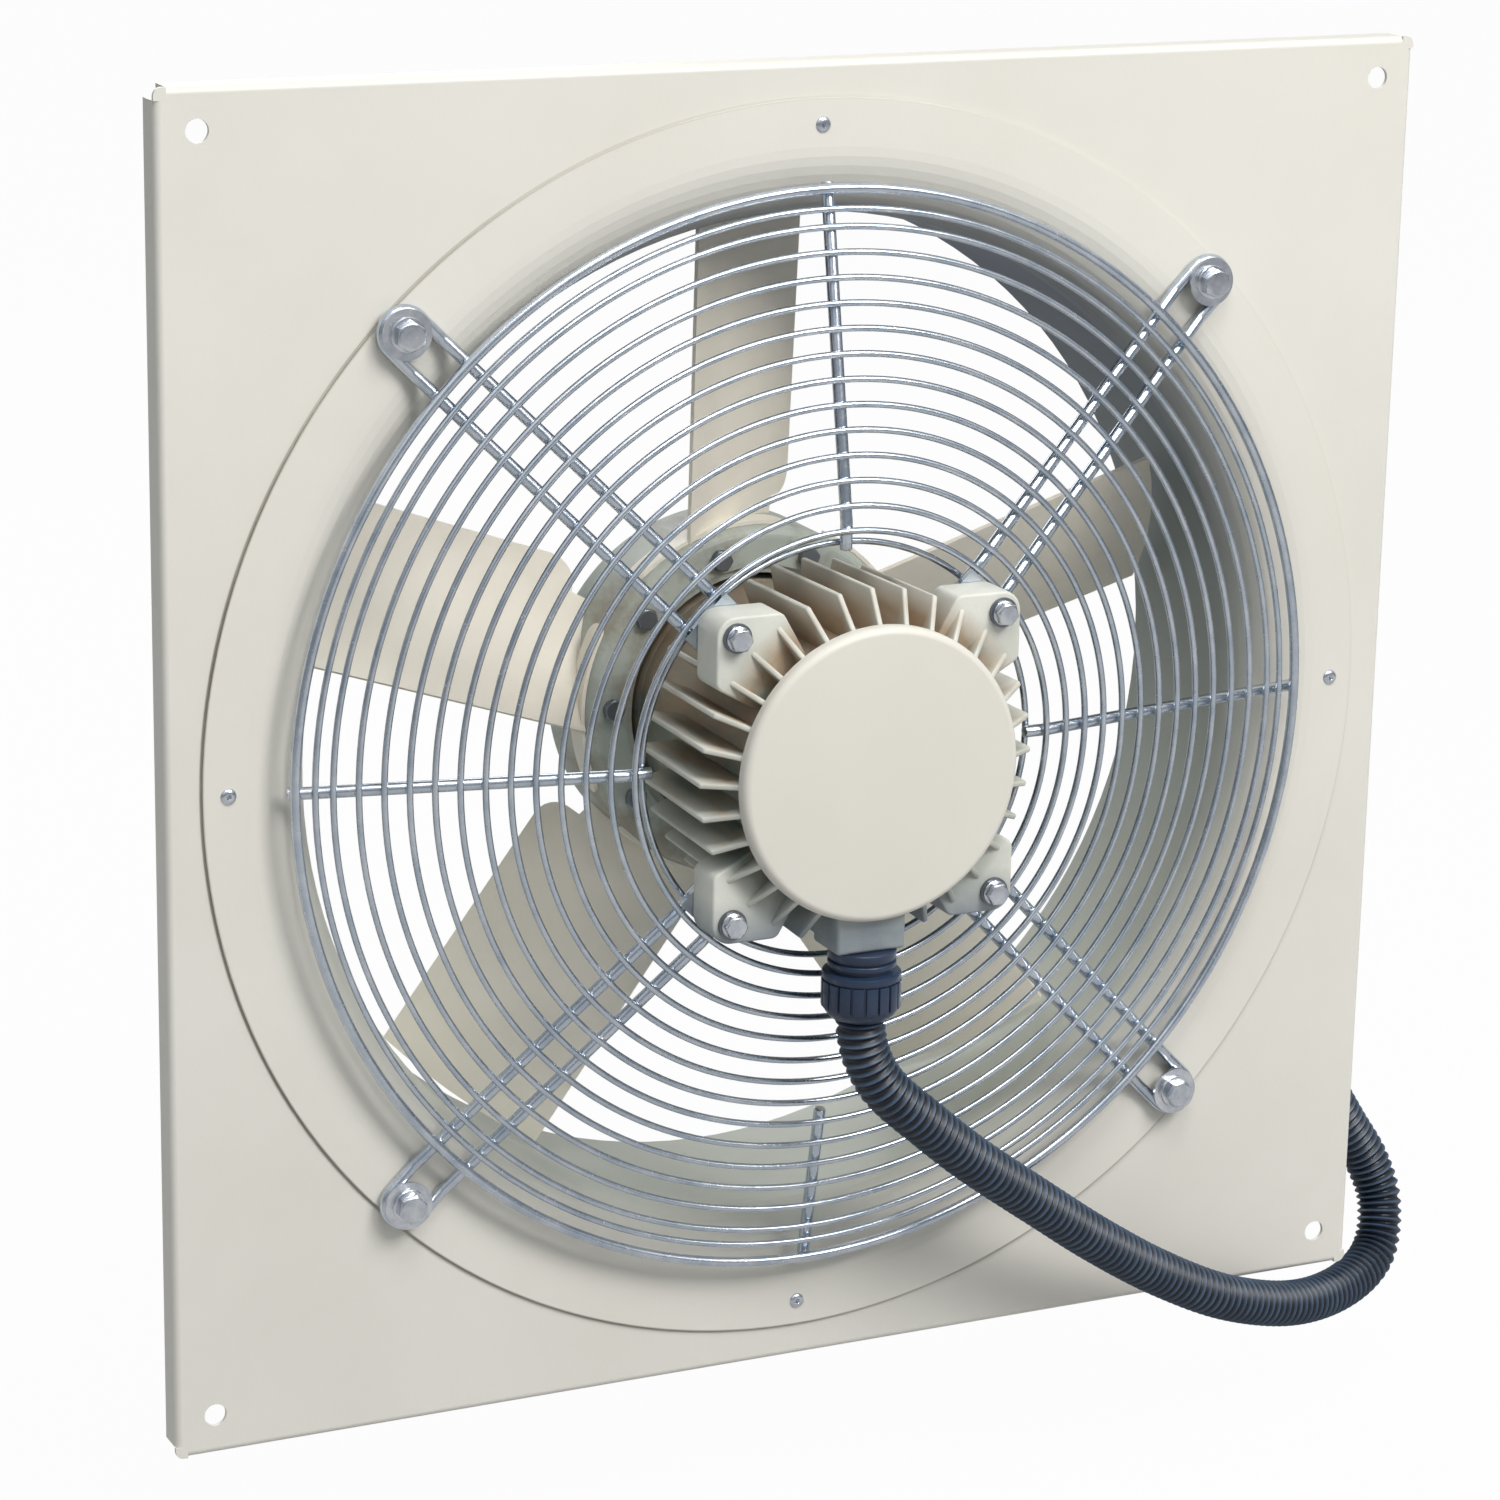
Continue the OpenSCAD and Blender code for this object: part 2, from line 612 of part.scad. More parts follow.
module rotor_core() color(laminate) upright() ring(journal_r + 1 + press_gap, rotor_r, stator_end, stator_top);

// Cast end rings of the rotor's cage, with short cooling vanes
end_ring_h = 7;
vane_len = 8;
vane_h = 5;
module rotor_end_rings() color(steel) upright() for (side = [0, 1]) {
    low = side == 0 ? stator_top : stator_end - end_ring_h;
    ring(journal_r + 9, rotor_r - 1, low, low + end_ring_h);
    vane_low = side == 0 ? stator_top + end_ring_h - 1 : stator_end - end_ring_h - vane_h + 1;
    for (a = [0:45:315]) rotate([0, 0, a]) translate([rotor_r - vane_len - 3, -1, vane_low]) cube([vane_len, 2, vane_h]);
}

key_w = 6;
shaft_thread_depth = 18;
module rotor_shaft() color(steel) upright() difference() {
    union() {
        slab(journal_r, front_bearing_end, shaft_top);
        slab(journal_r + 1, rear_bearing_top, front_bearing_end);
        slab(journal_r, boss_front, rear_bearing_top);
        slab(hub_seat_r, shaft_end, boss_front);
    }
    translate([-key_w / 2, hub_seat_r - 3.5, boss_back + 3]) cube([key_w, 8, boss_front - boss_back - 5]);
    slab(bolt_d / 2 - 0.7, shaft_end - 1, shaft_end + shaft_thread_depth);
}

// Rubber ring that turns with the shaft and keeps dust off the rear bearing
module shaft_seal() color(rubber_black) upright() ring(journal_r + press_gap, journal_r + 6, shield_back - 6, shield_back - 0.3);

module shaft_key() color(steel) upright()
    translate([-key_w / 2, hub_seat_r - 3.5, boss_back + 3]) cube([key_w, 6.5, boss_front - boss_back - 5]);

// Dished carrier: its flange takes the blade ring, its boss sits on the shaft
module hub_carrier() color(sheet) upright() difference() {
    union() {
        ring(cup_r, cup_r + cup_t, cup_back, hub_front - hub_t);
        ring(cup_r, hub_bolt_circle_r + 6, hub_front - hub_t - 3, hub_front - hub_t);
        slab(cup_r + cup_t, cup_back, cup_back + 3);
        slab(boss_r, boss_back, boss_front);
    }
    slab(hub_seat_r, boss_back - 1, boss_front + 1);
    translate([-key_w / 2, 0, boss_back - 1]) cube([key_w, hub_seat_r + 3, boss_front - boss_back + 2]);
    on_circle(hub_bolt_circle_r, hub_bolt_angles) slab(hub_bolt_d / 2 + hole_clearance, hub_front - hub_t - 4, hub_front);
}

hub_bolt_angles = [for (i = [0:9]) first_blade_angle + hub_bolt_shift + 36 * i];
// Blade ring: a drum with an inward front flange
module blade_ring() color(sheet) upright() difference() {
    rotate_extrude() polygon(concat(
        [[flange_in_r, hub_front - hub_t], [flange_in_r, hub_front]],
        arc([hub_r - 6, hub_front - 6], 6, 6, 90, 0, 6),
        [[hub_r, hub_back], [hub_r - hub_t, hub_back]],
        arc([hub_r - 6, hub_front - 6], 6 - hub_t, 6 - hub_t, 0, 90, 6)
    ));
    on_circle(hub_bolt_circle_r, hub_bolt_angles) slab(hub_bolt_d / 2 + hole_clearance, hub_front - hub_t - 1, hub_front + 1);
}

module hub_bolts() color(zinc) upright() on_circle(hub_bolt_circle_r, hub_bolt_angles) {
    slab(hub_bolt_d / 2, hub_front - hub_t - 3 - hub_bolt_d, hub_front);
    hexagon(hub_nut_af, hub_front, hub_front + 0.66 * hub_bolt_d);
}

module hub_nuts() color(zinc) upright() on_circle(hub_bolt_circle_r, hub_bolt_angles) {
    hex_nut(hub_nut_af, hub_bolt_d / 2 + running_gap, hub_front - hub_t - 3 - 0.8 * hub_bolt_d, hub_front - hub_t - 3);
}

module shaft_washer() color(zinc) upright() ring(bolt_d / 2 + hole_clearance, 15, boss_back - 3, boss_back);

module shaft_bolt() color(zinc) upright() {
    slab(bolt_d / 2 - 0.75, boss_back - 4, boss_back + 16);
    hexagon(nut_af, boss_back - 3 - head_h, boss_back - 3);
}

// Outline of a blade in its own plane: x out along the blade, y across it
module blade_outline() {
    corner = 12;
    polygon(concat(
        arc([hub_r + 6 + corner, -blade_root_w / 2 + corner], corner, corner, 180, 270, 6),
        [[tip_r + 5, -blade_tip_w / 2 + 5], [tip_r + 5, blade_tip_w / 2 + 5],
         [hub_r - 12, blade_root_w / 2], [hub_r - 12, -blade_root_w / 4],
         [hub_r + 6, -blade_root_w / 2 + 1.6 * corner]]
    ));
}

// A curved sheet, pitched and cut off by the hub and by the tip circle
module blade_sheet() {
    translate([0, 0, blade_mid]) rotate([blade_pitch, 0, 0]) intersection() {
        translate([0, 0, -15]) linear_extrude(30) blade_outline();
        translate([hub_r - 20, 0, -blade_camber_r + 3]) rotate([0, 90, 0]) difference() {
            cylinder(r = blade_camber_r, h = tip_r, $fn = 360);
            translate([0, 0, -1]) cylinder(r = blade_camber_r - blade_t, h = tip_r + 2, $fn = 360);
        }
    }
}

// Foot of a blade: a band on the drum with round ends
foot_h = 14;
module blade_foot() {
    centre_h = hub_front - 5 - foot_h / 2;
    span = foot_angles[1] - foot_angles[0];
    end_inset = asin(foot_h / 2 / hub_r);
    intersection() {
        ring(hub_r + running_gap, hub_r + blade_t, centre_h - foot_h / 2, centre_h + foot_h / 2);
        union() {
            for (a = [foot_angles[0] + end_inset, foot_angles[1] - end_inset])
                rotate([0, 0, a]) translate([hub_r - 8, 0, centre_h]) rotate([0, 90, 0]) cylinder(d = foot_h, h = 16);
            rotate([0, 0, foot_angles[0] + end_inset]) translate([0, 0, centre_h - foot_h / 2])
                rotate_extrude(angle = span - 2 * end_inset) translate([hub_r - 8, 0]) square([16, foot_h]);
        }
    }
}

module blade(index) color(sheet) upright() rotate([0, 0, first_blade_angle + index * 72]) {
    difference() {
        intersection() {
            blade_sheet();
            slab(tip_r, blade_mid - blade_root_w, blade_mid + blade_root_w);
        }
        slab(hub_r + running_gap, blade_mid - blade_root_w - 1, blade_mid + blade_root_w + 1);
    }
    blade_foot();
}

// A hose fitting along +z: collar and spigot, open through its middle
module fitting_body(spigot_len, spigot) difference() {
    union() {
        slab(spigot, -spigot_len, 0);
        slab(collar_r, 0, collar_len - 2.5);
        slab(collar_r - 1.5, collar_len - 2.5, collar_len);
        hexagon(2 * collar_r - 3, 0.5, collar_len - 3);
    }
    slab(min(bore_r - 1, spigot - fitting_wall), -spigot_len - 1, collar_len + 1);
}

// The ribbed nut on a fitting, from its face at the collar to its mouth
module fitting_nut() difference() {
    union() {
        rotate_extrude() polygon([
            [bore_r, 0], [nut_r - 1.2, 0], [nut_r - 0.4, 1.5], [nut_r - 0.4, 4], [nut_r - 1.2, 5],
            [nut_r - 1.2, nut_len - 5], [nut_r - 4, nut_len], [bore_r, nut_len]
        ]);
        for (i = [0:grip_count - 1]) rotate([0, 0, i * 360 / grip_count])
            translate([nut_r - 2.5, -1.2, 4]) cube([2.5, 2.4, nut_len - 10]);
    }
    slab(hose_r - 1, -1, 7);
}

module fitting_seal() ring(bore_r - 1.5, hose_r - 1.05, 0, 7);

module at_gland(offset) translate([0, -gland_h, -gland_reach - offset]) rotate([180, 0, 0]) children();
module at_fitting(offset) translate(fitting_at + [0, 0, offset]) children();

module gland_body() color(nylon) at_gland(0) fitting_body(13, gland_spigot_r);
module gland_seal() color(rubber_black) at_gland(collar_len) fitting_seal();
module gland_nut() color(nylon) at_gland(collar_len) fitting_nut();

module end_fitting_nut() color(nylon) at_fitting(nut_len) rotate([180, 0, 0]) fitting_nut();
module end_fitting_body() color(nylon) at_fitting(nut_len + collar_len) rotate([180, 0, 0]) fitting_body(14, thread_r);
module end_fitting_seal() color(rubber_black) at_fitting(nut_len) rotate([180, 0, 0]) slab(hose_r - 1.05, 0, 7);

// Smooth line through the hose's route
function spline_point(p0, p1, p2, p3, t) = 0.5 * (
    2 * p1 + (p2 - p0) * t + (2 * p0 - 5 * p1 + 4 * p2 - p3) * t * t + (3 * p1 - p0 - 3 * p2 + p3) * t * t * t
);
function clamp_index(i) = max(0, min(len(hose_route) - 1, i));
function route_at(u) = let (i = min(floor(u), len(hose_route) - 2)) spline_point(
    hose_route[clamp_index(i - 1)], hose_route[i], hose_route[i + 1], hose_route[clamp_index(i + 2)], u - i
);
function running_sum(v) = [for (i = 0, s = 0; i < len(v); s = s + v[i], i = i + 1) s + v[i]];

// Points at equal steps along the line, so that the ribs are evenly spaced
fine_steps = 24 * (len(hose_route) - 1);
fine = [for (k = [0:fine_steps]) route_at(k * (len(hose_route) - 1) / fine_steps)];
fine_len = running_sum([for (k = [0:fine_steps]) k == 0 ? 0 : norm(fine[k] - fine[k - 1])]);
hose_len = fine_len[fine_steps];
ring_steps = 2 * rib_count;
function place(s) = let (hit = search_up(s, 0, fine_steps))
    fine[hit] + (fine[hit + 1] - fine[hit]) * (s - fine_len[hit]) / (fine_len[hit + 1] - fine_len[hit]);
function search_up(s, low, high) = high - low <= 1 ? low :
    let (mid = floor((low + high) / 2)) fine_len[mid] <= s ? search_up(s, mid, high) : search_up(s, low, mid);
line = [for (k = [0:ring_steps]) place(hose_len * k / ring_steps)];

// Directions along the line, and a sideways direction carried along without twist
function unit(v) = v / norm(v);
heading = [for (k = [0:ring_steps]) k == 0 ? [0, 0, -1] : k == ring_steps ? [0, 0, 1] : unit(line[k + 1] - line[k - 1])];
side_way = [for (k = 0, s = [1, 0, 0]; k <= ring_steps;
    k = k + 1, s = k > ring_steps ? s : unit(s - (s * heading[k]) * heading[k])) s];
function hoop(k, r) = [for (j = [0:hose_sides - 1]) let (a = 360 * j / hose_sides)
    line[k] + r * (cos(a) * side_way[k] + sin(a) * cross(heading[k], side_way[k]))];

// Ribbed outside, smooth bore, closed by flat ends
bore_every = 7;
bore_steps = ring_steps / bore_every;
module hose() color(nylon) {
    outer = [for (k = [0:ring_steps]) each hoop(k, k % 2 == 0 ? valley_r : hose_r)];
    inner = [for (k = [0:bore_every:ring_steps]) each hoop(k, bore_r)];
    n = hose_sides;
    base = len(outer);
    bore_rings = len(inner) / n;
    polyhedron(points = concat(outer, inner), faces = concat(
        [for (k = [0:ring_steps - 1], j = [0:n - 1]) [k * n + j, (k + 1) * n + j, (k + 1) * n + (j + 1) % n]],
        [for (k = [0:ring_steps - 1], j = [0:n - 1]) [k * n + j, (k + 1) * n + (j + 1) % n, k * n + (j + 1) % n]],
        [for (k = [0:bore_rings - 2], j = [0:n - 1])
            [base + k * n + j, base + (k + 1) * n + (j + 1) % n, base + (k + 1) * n + j]],
        [for (k = [0:bore_rings - 2], j = [0:n - 1])
            [base + k * n + j, base + k * n + (j + 1) % n, base + (k + 1) * n + (j + 1) % n]],
        [for (j = [0:n - 1]) [j, (j + 1) % n, base + (j + 1) % n]],
        [for (j = [0:n - 1]) [j, base + (j + 1) % n, base + j]],
        let (e = ring_steps * n, f = base + (bore_rings - 1) * n) concat(
            [for (j = [0:n - 1]) [e + j, f + (j + 1) % n, e + (j + 1) % n]],
            [for (j = [0:n - 1]) [e + j, f + j, f + (j + 1) % n]]
        )
    ));
}

// Least distance between two stretches of the hose that aren't neighbours
gap_step = 7;
apart = ceil(4 * hose_d / (hose_len / ring_steps));
self_gap = min([for (i = [0:gap_step:ring_steps], k = [i + apart:gap_step:ring_steps]) norm(line[i] - line[k])]) - hose_d;
echo(hose_length = hose_len, least_gap_to_itself = self_gap);

mounting_plate();
inlet_ring();
ring_rivets();
guard_outer_ring();
guard_rings();
guard_radial_rods();
guard_support_rods();
guard_motor_pads();
guard_bolts();
guard_washers();
guard_nuts();
motor_housing();
motor_cap();
cap_seal();
rear_end_shield();
shield_screws();
lug_bolts();
lug_washers();
lug_nuts();
stator_core();
stator_windings();
wave_washer();
front_bearing_outer();
rear_bearing_outer();
front_bearing_inner();
rear_bearing_inner();
bearing_balls();
rotor_core();
rotor_end_rings();
rotor_shaft();
shaft_seal();
shaft_key();
hub_carrier();
blade_ring();
hub_bolts();
hub_nuts();
shaft_washer();
shaft_bolt();
blade(0);  // blade_1
blade(1);  // blade_2
blade(2);  // blade_3
blade(3);  // blade_4
blade(4);  // blade_5
gland_body();
gland_seal();
gland_nut();
hose();
end_fitting_nut();
end_fitting_body();
end_fitting_seal();
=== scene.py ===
# Wall exhaust fan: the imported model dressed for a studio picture
import bpy
import bmesh
import json
from math import radians, degrees, pi, sin, cos, tan, atan2, sqrt
from mathutils import Vector, Matrix


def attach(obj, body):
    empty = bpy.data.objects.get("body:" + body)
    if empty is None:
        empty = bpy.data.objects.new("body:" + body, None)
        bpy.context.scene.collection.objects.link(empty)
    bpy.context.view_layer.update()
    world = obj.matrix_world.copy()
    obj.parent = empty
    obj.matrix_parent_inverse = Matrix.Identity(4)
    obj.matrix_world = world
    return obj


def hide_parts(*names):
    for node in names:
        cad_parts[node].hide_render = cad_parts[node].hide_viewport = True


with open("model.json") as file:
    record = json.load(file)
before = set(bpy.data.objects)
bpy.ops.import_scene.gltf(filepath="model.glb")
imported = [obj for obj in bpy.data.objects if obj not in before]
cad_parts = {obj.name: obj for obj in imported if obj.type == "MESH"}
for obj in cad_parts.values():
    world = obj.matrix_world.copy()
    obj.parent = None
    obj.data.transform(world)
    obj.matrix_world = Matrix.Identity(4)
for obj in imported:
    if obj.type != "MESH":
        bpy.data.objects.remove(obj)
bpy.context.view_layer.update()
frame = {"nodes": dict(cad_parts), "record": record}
bpy.ops.object.select_all(action="DESELECT")


def added(name, data):
    made = bpy.data.objects.new(name, data)
    bpy.context.scene.collection.objects.link(made)
    return made


# Camera

camera = {
    "place": (-0.9426, -1.9207, 0.5961),
    "right": (0.90497, -0.42506, 0.01868),
    "up": (0.09847, 0.25197, 0.96271),
    "back": (-0.41392, -0.86939, 0.26988),
    "lens": 109.18,
    "sensor": 36,
    "shift": (-0.004, -0.0073),
    "clip": (0.05, 60),
}


def setCamera():
    data = bpy.data.cameras.new("camera")
    data.lens, data.sensor_width = camera["lens"], camera["sensor"]
    data.shift_x, data.shift_y = camera["shift"]
    data.clip_start, data.clip_end = camera["clip"]
    made = added("camera", data)
    turn = Matrix((camera["right"], camera["up"], camera["back"])).transposed()
    made.matrix_world = Matrix.Translation(camera["place"]) @ turn.to_4x4()
    bpy.context.scene.camera = made


setCamera()
print("camera set")

# Materials: sums on sockets, and one method for every other node


class Wire:
    def __init__(self, tree, socket):
        self.tree, self.socket = tree, socket

    def __add__(self, other):
        return self.tree.sum("ADD", self, other)

    def __radd__(self, other):
        return self.tree.sum("ADD", other, self)

    def __sub__(self, other):
        return self.tree.sum("SUBTRACT", self, other)

    def __rsub__(self, other):
        return self.tree.sum("SUBTRACT", other, self)

    def __mul__(self, other):
        return self.tree.sum("MULTIPLY", self, other)

    def __rmul__(self, other):
        return self.tree.sum("MULTIPLY", other, self)


class Tree:
    def __init__(self, nodeTree):
        self.nodeTree = nodeTree
        nodeTree.nodes.clear()

    def node(self, kind, settings=None, sockets=None, out=0):
        made = self.nodeTree.nodes.new(kind)
        for name, value in (settings or {}).items():
            if name == "stops":
                self.setStops(made.color_ramp, value)
            else:
                setattr(made, name, value)
        for name, value in (sockets or {}).items():
            if isinstance(value, Wire):
                self.nodeTree.links.new(value.socket, made.inputs[name])
            else:
                made.inputs[name].default_value = value
        return Wire(self, made.outputs[out] if made.outputs else None)

    def sum(self, operation, first, second):
        return self.node("ShaderNodeMath", {"operation": operation}, {0: first, 1: second})

    def setStops(self, ramp, stops):
        while len(ramp.elements) < len(stops):
            ramp.elements.new(0.5)
        for stop, (at, shade) in zip(ramp.elements, stops):
            stop.position = at
            stop.color = (*shade, 1) if isinstance(shade, tuple) else (shade, shade, shade, 1)

    def ramp(self, amount, stops):
        return self.node("ShaderNodeValToRGB", {"stops": stops}, {"Fac": amount}, out="Color")


class Finish(Tree):
    def __init__(self, name):
        self.material = bpy.data.materials.new(name)
        self.material.use_nodes = True
        super().__init__(self.material.node_tree)
        self.place = self.node("ShaderNodeTexCoord", out="Object")

    def stretched(self, scale):
        return self.node("ShaderNodeMapping", sockets={"Vector": self.place, "Scale": scale})

    def noise(self, scale, detail=3.0, rough=0.55, stretch=None):
        where = self.stretched(stretch) if stretch else self.place
        return self.node("ShaderNodeTexNoise", sockets={
            "Vector": where, "Scale": scale, "Detail": detail, "Roughness": rough})

    def bands(self, direction, scale, wobble):
        return self.node("ShaderNodeTexWave", {"bands_direction": direction}, {
            "Vector": self.place, "Scale": scale, "Distortion": wobble}, out="Fac")

    def blend(self, amount, first, second):
        first = (*first, 1) if isinstance(first, tuple) else first
        second = (*second, 1) if isinstance(second, tuple) else second
        return self.node("ShaderNodeMix", {"data_type": "RGBA"}, {0: amount, 6: first, 7: second}, out=2)

    def mottled(self, pattern, pair, stops=((0.35, 0), (0.7, 1))):
        return self.blend(self.ramp(pattern, stops), *pair)

    def fromAxis(self):
        # distance from the fan's axis, which is the object's Y axis
        flat = self.stretched((1, 0, 1))
        return self.node("ShaderNodeVectorMath", {"operation": "LENGTH"}, {0: flat}, out="Value")

    def along(self, axis):
        return self.node("ShaderNodeSeparateXYZ", sockets={"Vector": self.place}, out=axis)

    def bump(self, height, strength, distance):
        return self.node("ShaderNodeBump", sockets={
            "Height": height, "Strength": strength, "Distance": distance})

    def surface(self, colour, rough, normal, metal=0.0, specular=0.5):
        shader = self.node("ShaderNodeBsdfPrincipled", sockets={
            "Base Color": colour, "Metallic": metal, "Roughness": rough, "Normal": normal,
            "Specular IOR Level": specular}, out="BSDF")
        self.node("ShaderNodeOutputMaterial", sockets={"Surface": shader})
        return self.material


def linear(*srgb):
    # an 8-bit sRGB shade as linear light
    return tuple((c / 255 / 12.92) if c <= 10 else ((c / 255 + 0.055) / 1.055) ** 2.4 for c in srgb)


shades = {
    "plate": (linear(213, 211, 202), linear(208, 205, 196)),
    "cap": (linear(211, 208, 198), linear(206, 203, 193)),
    # painted shade inside the duct: dark blue above, pale below as painted light
    "duct": (linear(36, 62, 90), linear(186, 190, 180)),
    "cast": (linear(208, 208, 199), linear(190, 192, 182)),
    # stain mixed with painted shade for the hollows between the fins
    "stainAndShade": (linear(98, 110, 100), linear(150, 122, 90)),
    "blade": (linear(240, 234, 220), linear(228, 222, 206)),
    # the hub's tone, darker and greener than the blades': partly its own colour, partly painted shade deep
    # in the duct
    "hub": (linear(192, 196, 184), linear(156, 168, 162)),
    "wire": (linear(212, 218, 226), linear(178, 190, 203)),
    "bolt": (linear(224, 227, 231), linear(188, 194, 204)),
    "crest": (linear(68, 88, 110), linear(48, 64, 84)),
    "laminate": (linear(96, 96, 100), linear(60, 60, 64)),
    "winding": (linear(184, 98, 52), linear(110, 52, 26)),
    # painted shade in the grooves between the hose's ribs
    "groove": linear(12, 18, 28),
    # painted shadow along the step at the edge of the ring's land
    "stepShadow": linear(118, 112, 96),
    # painted shade and reflection low on the housing, under the cap
    "shadedUnderside": linear(112, 124, 134),
    "hubGrime": linear(134, 116, 94),
}

# painted shadow beside the step at the edge of the ring's land, fading where the step faces the light: its
# amount by centimetres outwards from 5 mm inside that edge
stepShadow = {
    "inset": 0.005,
    "line": [(0.41, 0), (0.48, 0.7), (0.52, 0.7), (0.59, 0)],
    "patchiness": 0.4,
    "upwards": [(0.4, 1), (0.86, 0.08)],  # it fades towards the upper right
}

# painted shade inside the duct, which takes over inwards from the mouth: dark blue above as painted
# shadow, pale below as painted light
ductShade = {
    "inward": [(0.03, 0), (0.15, 0.5), (0.42, 1)],
    "inwardScale": 12,
    "dust": [(0.15, 0), (0.3, 0.35), (0.62, 0.9), (0.75, 1)],
    "dustScale": 1.6,
    "cover": 0.9,
    "cloudiness": 0.2,
    "specular": 0.1,
}


def powderCoat(name, pair, peel, rough, edge=0.0, duct=False):
    coat = Finish(name)
    cloud = coat.noise(scale=7, detail=4)
    grain = coat.noise(scale=900, detail=2)
    orangePeel = coat.noise(scale=420, detail=1.5, rough=0.5)
    colour = coat.mottled(cloud, pair, ((0.3, 0), (0.7, 1)))
    # painted shadow of the land's step, darkest on the side away from the light
    if edge:
        line = coat.ramp(100 * (coat.fromAxis() - (edge - stepShadow["inset"])), stepShadow["line"])
        patchy = stepShadow["patchiness"] + coat.noise(scale=9, detail=2)
        fading = coat.ramp(0.5 + coat.along("X") + coat.along("Z"), stepShadow["upwards"])
        colour = coat.blend(line * patchy * fading, colour, shades["stepShadow"])
    # painted shade deepening into the duct: dark blue at the top as painted shadow, pale at the bottom as
    # painted light; it colours the duct's outside too
    if duct:
        inward = coat.ramp(ductShade["inwardScale"] * coat.along("Y"), ductShade["inward"])
        dust = coat.ramp(0.5 - ductShade["dustScale"] * coat.along("Z"), ductShade["dust"])
        cover = inward * (ductShade["cover"] + ductShade["cloudiness"] * cloud)
        colour = coat.blend(cover, colour, coat.blend(dust, *shades["duct"]))
    return coat.surface(
        colour, rough + 0.08 * grain, coat.bump(orangePeel, strength=peel, distance=0.0004),
        specular=ductShade["specular"] if duct else 0.5)


# where dirt and painted shade lie on the cast motor, in metres, and how they grow from there: stain mixed
# with painted shade towards the fins' roots and behind the cap, and painted shade low on the housing under
# the cap
castDirtAndShade = {
    "finTips": 0.0915,
    "towardsRoots": [(0.08, 0), (0.62, 1)],
    "rootScale": 40,
    "capBack": -0.0745,
    "behindCap": [(0.0, 0), (0.25, 1)],
    "capScale": 30,
    "streaks": [(0.3, 0.55), (0.6, 1)],
    "amount": 0.85,
    "brownAbove": 3,
    "shadedUnderside": -0.058,
    "below": [(0.0, 0), (0.5, 1)],
    "belowScale": 22,
}


def castPaint():
    d = castDirtAndShade
    coat = Finish("castPaint")
    cloud = coat.noise(scale=22, detail=5, rough=0.6)
    sand = coat.noise(scale=650, detail=3, rough=0.6)
    lumps = coat.noise(scale=120, detail=2, rough=0.5)
    colour = coat.mottled(cloud, shades["cast"], ((0.3, 0), (0.72, 1)))
    # stain mixed with painted shade, darker between the fins towards their roots and behind the cap, in
    # streaks
    low = coat.ramp(d["rootScale"] * (d["finTips"] - coat.fromAxis()), d["towardsRoots"])
    behind = coat.ramp(d["capScale"] * (coat.along("Y") - d["capBack"]), d["behindCap"])
    streaks = coat.ramp(coat.noise(scale=34, detail=4, rough=0.6, stretch=(1, 0.25, 1)), d["streaks"])
    patches = coat.noise(scale=46, detail=4, rough=0.65, stretch=(1, 0.35, 1))
    brownness = patches + d["brownAbove"] * coat.along("Z")
    stainAndShade = coat.mottled(brownness, shades["stainAndShade"], ((0.42, 0), (0.62, 1)))
    colour = coat.blend(d["amount"] * low * behind * streaks, colour, stainAndShade)
    # painted shade and reflection: bluish grey low on the housing, round the boss under the cap
    under = coat.ramp(d["belowScale"] * (d["shadedUnderside"] - coat.along("Z")), d["below"])
    colour = coat.blend(under * coat.ramp(cloud, [(0.3, 0.7), (0.7, 1)]), colour, shades["shadedUnderside"])
    return coat.surface(
        colour, 0.42 + 0.16 * sand, coat.bump(0.6 * sand + 0.9 * lumps, strength=0.35, distance=0.0005))


def zinc(name, pair, patches, grains, rough, roughSpread, relief):
    coat = Finish(name)
    grain = coat.noise(grains, detail=2)
    colour = coat.mottled(coat.noise(patches, detail=4, rough=0.6), pair)
    return coat.surface(
        colour, rough + roughSpread * grain, coat.bump(grain, relief, distance=0.0002), metal=1.0)


def bladePaint(name, pair, dirt=None):
    coat = Finish(name)
    grain = coat.noise(scale=700, detail=2)
    orangePeel = coat.noise(scale=380, detail=2)
    colour = coat.mottled(coat.noise(scale=12, detail=5, rough=0.6), pair, ((0.3, 0), (0.72, 1)))
    if dirt:
        patches = coat.noise(scale=26, detail=5, rough=0.65, stretch=(1, 0.4, 1))
        colour = coat.blend(0.6 * coat.ramp(patches, [(0.48, 0), (0.62, 1)]), colour, dirt)
    return coat.surface(
        colour, 0.4 + 0.12 * grain, coat.bump(orangePeel, strength=0.12, distance=0.0004))


def plainFinish(name, shade, metal, rough, scale=300, relief=0.2):
    made = Finish(name)
    grain = made.noise(scale)
    darker = tuple(0.8 * c for c in shade)
    colour = made.mottled(made.noise(scale / 8, detail=4), (shade, darker), ((0.3, 0), (0.75, 1)))
    return made.surface(colour, rough + 0.12 * grain, made.bump(grain, relief, distance=0.0003), metal)


def hoseNylon():
    made = Finish("hoseNylon")
    groove = made.node("ShaderNodeAttribute", {"attribute_name": "groove"}, out="Fac")
    crest = made.mottled(made.noise(scale=70, detail=4), shades["crest"])
    # painted shade: the grooves between the ribs darken to near black
    colour = made.blend(made.ramp(groove, [(0.04, 0), (0.62, 1)]), crest, shades["groove"])
    return made.surface(
        colour, 0.3 + 0.2 * made.noise(scale=400), made.bump(made.noise(scale=500), 0.2, distance=0.0002))


def banded(name, pair, direction, scale, wobble, metal, rough, roughSpread, relief, depth):
    # laminations or turns of wire
    made = Finish(name)
    bands = made.bands(direction, scale, wobble)
    grain = made.noise(scale=300)
    colour = made.blend(bands, *pair)
    return made.surface(colour, rough + roughSpread * grain, made.bump(bands, relief, depth), metal)


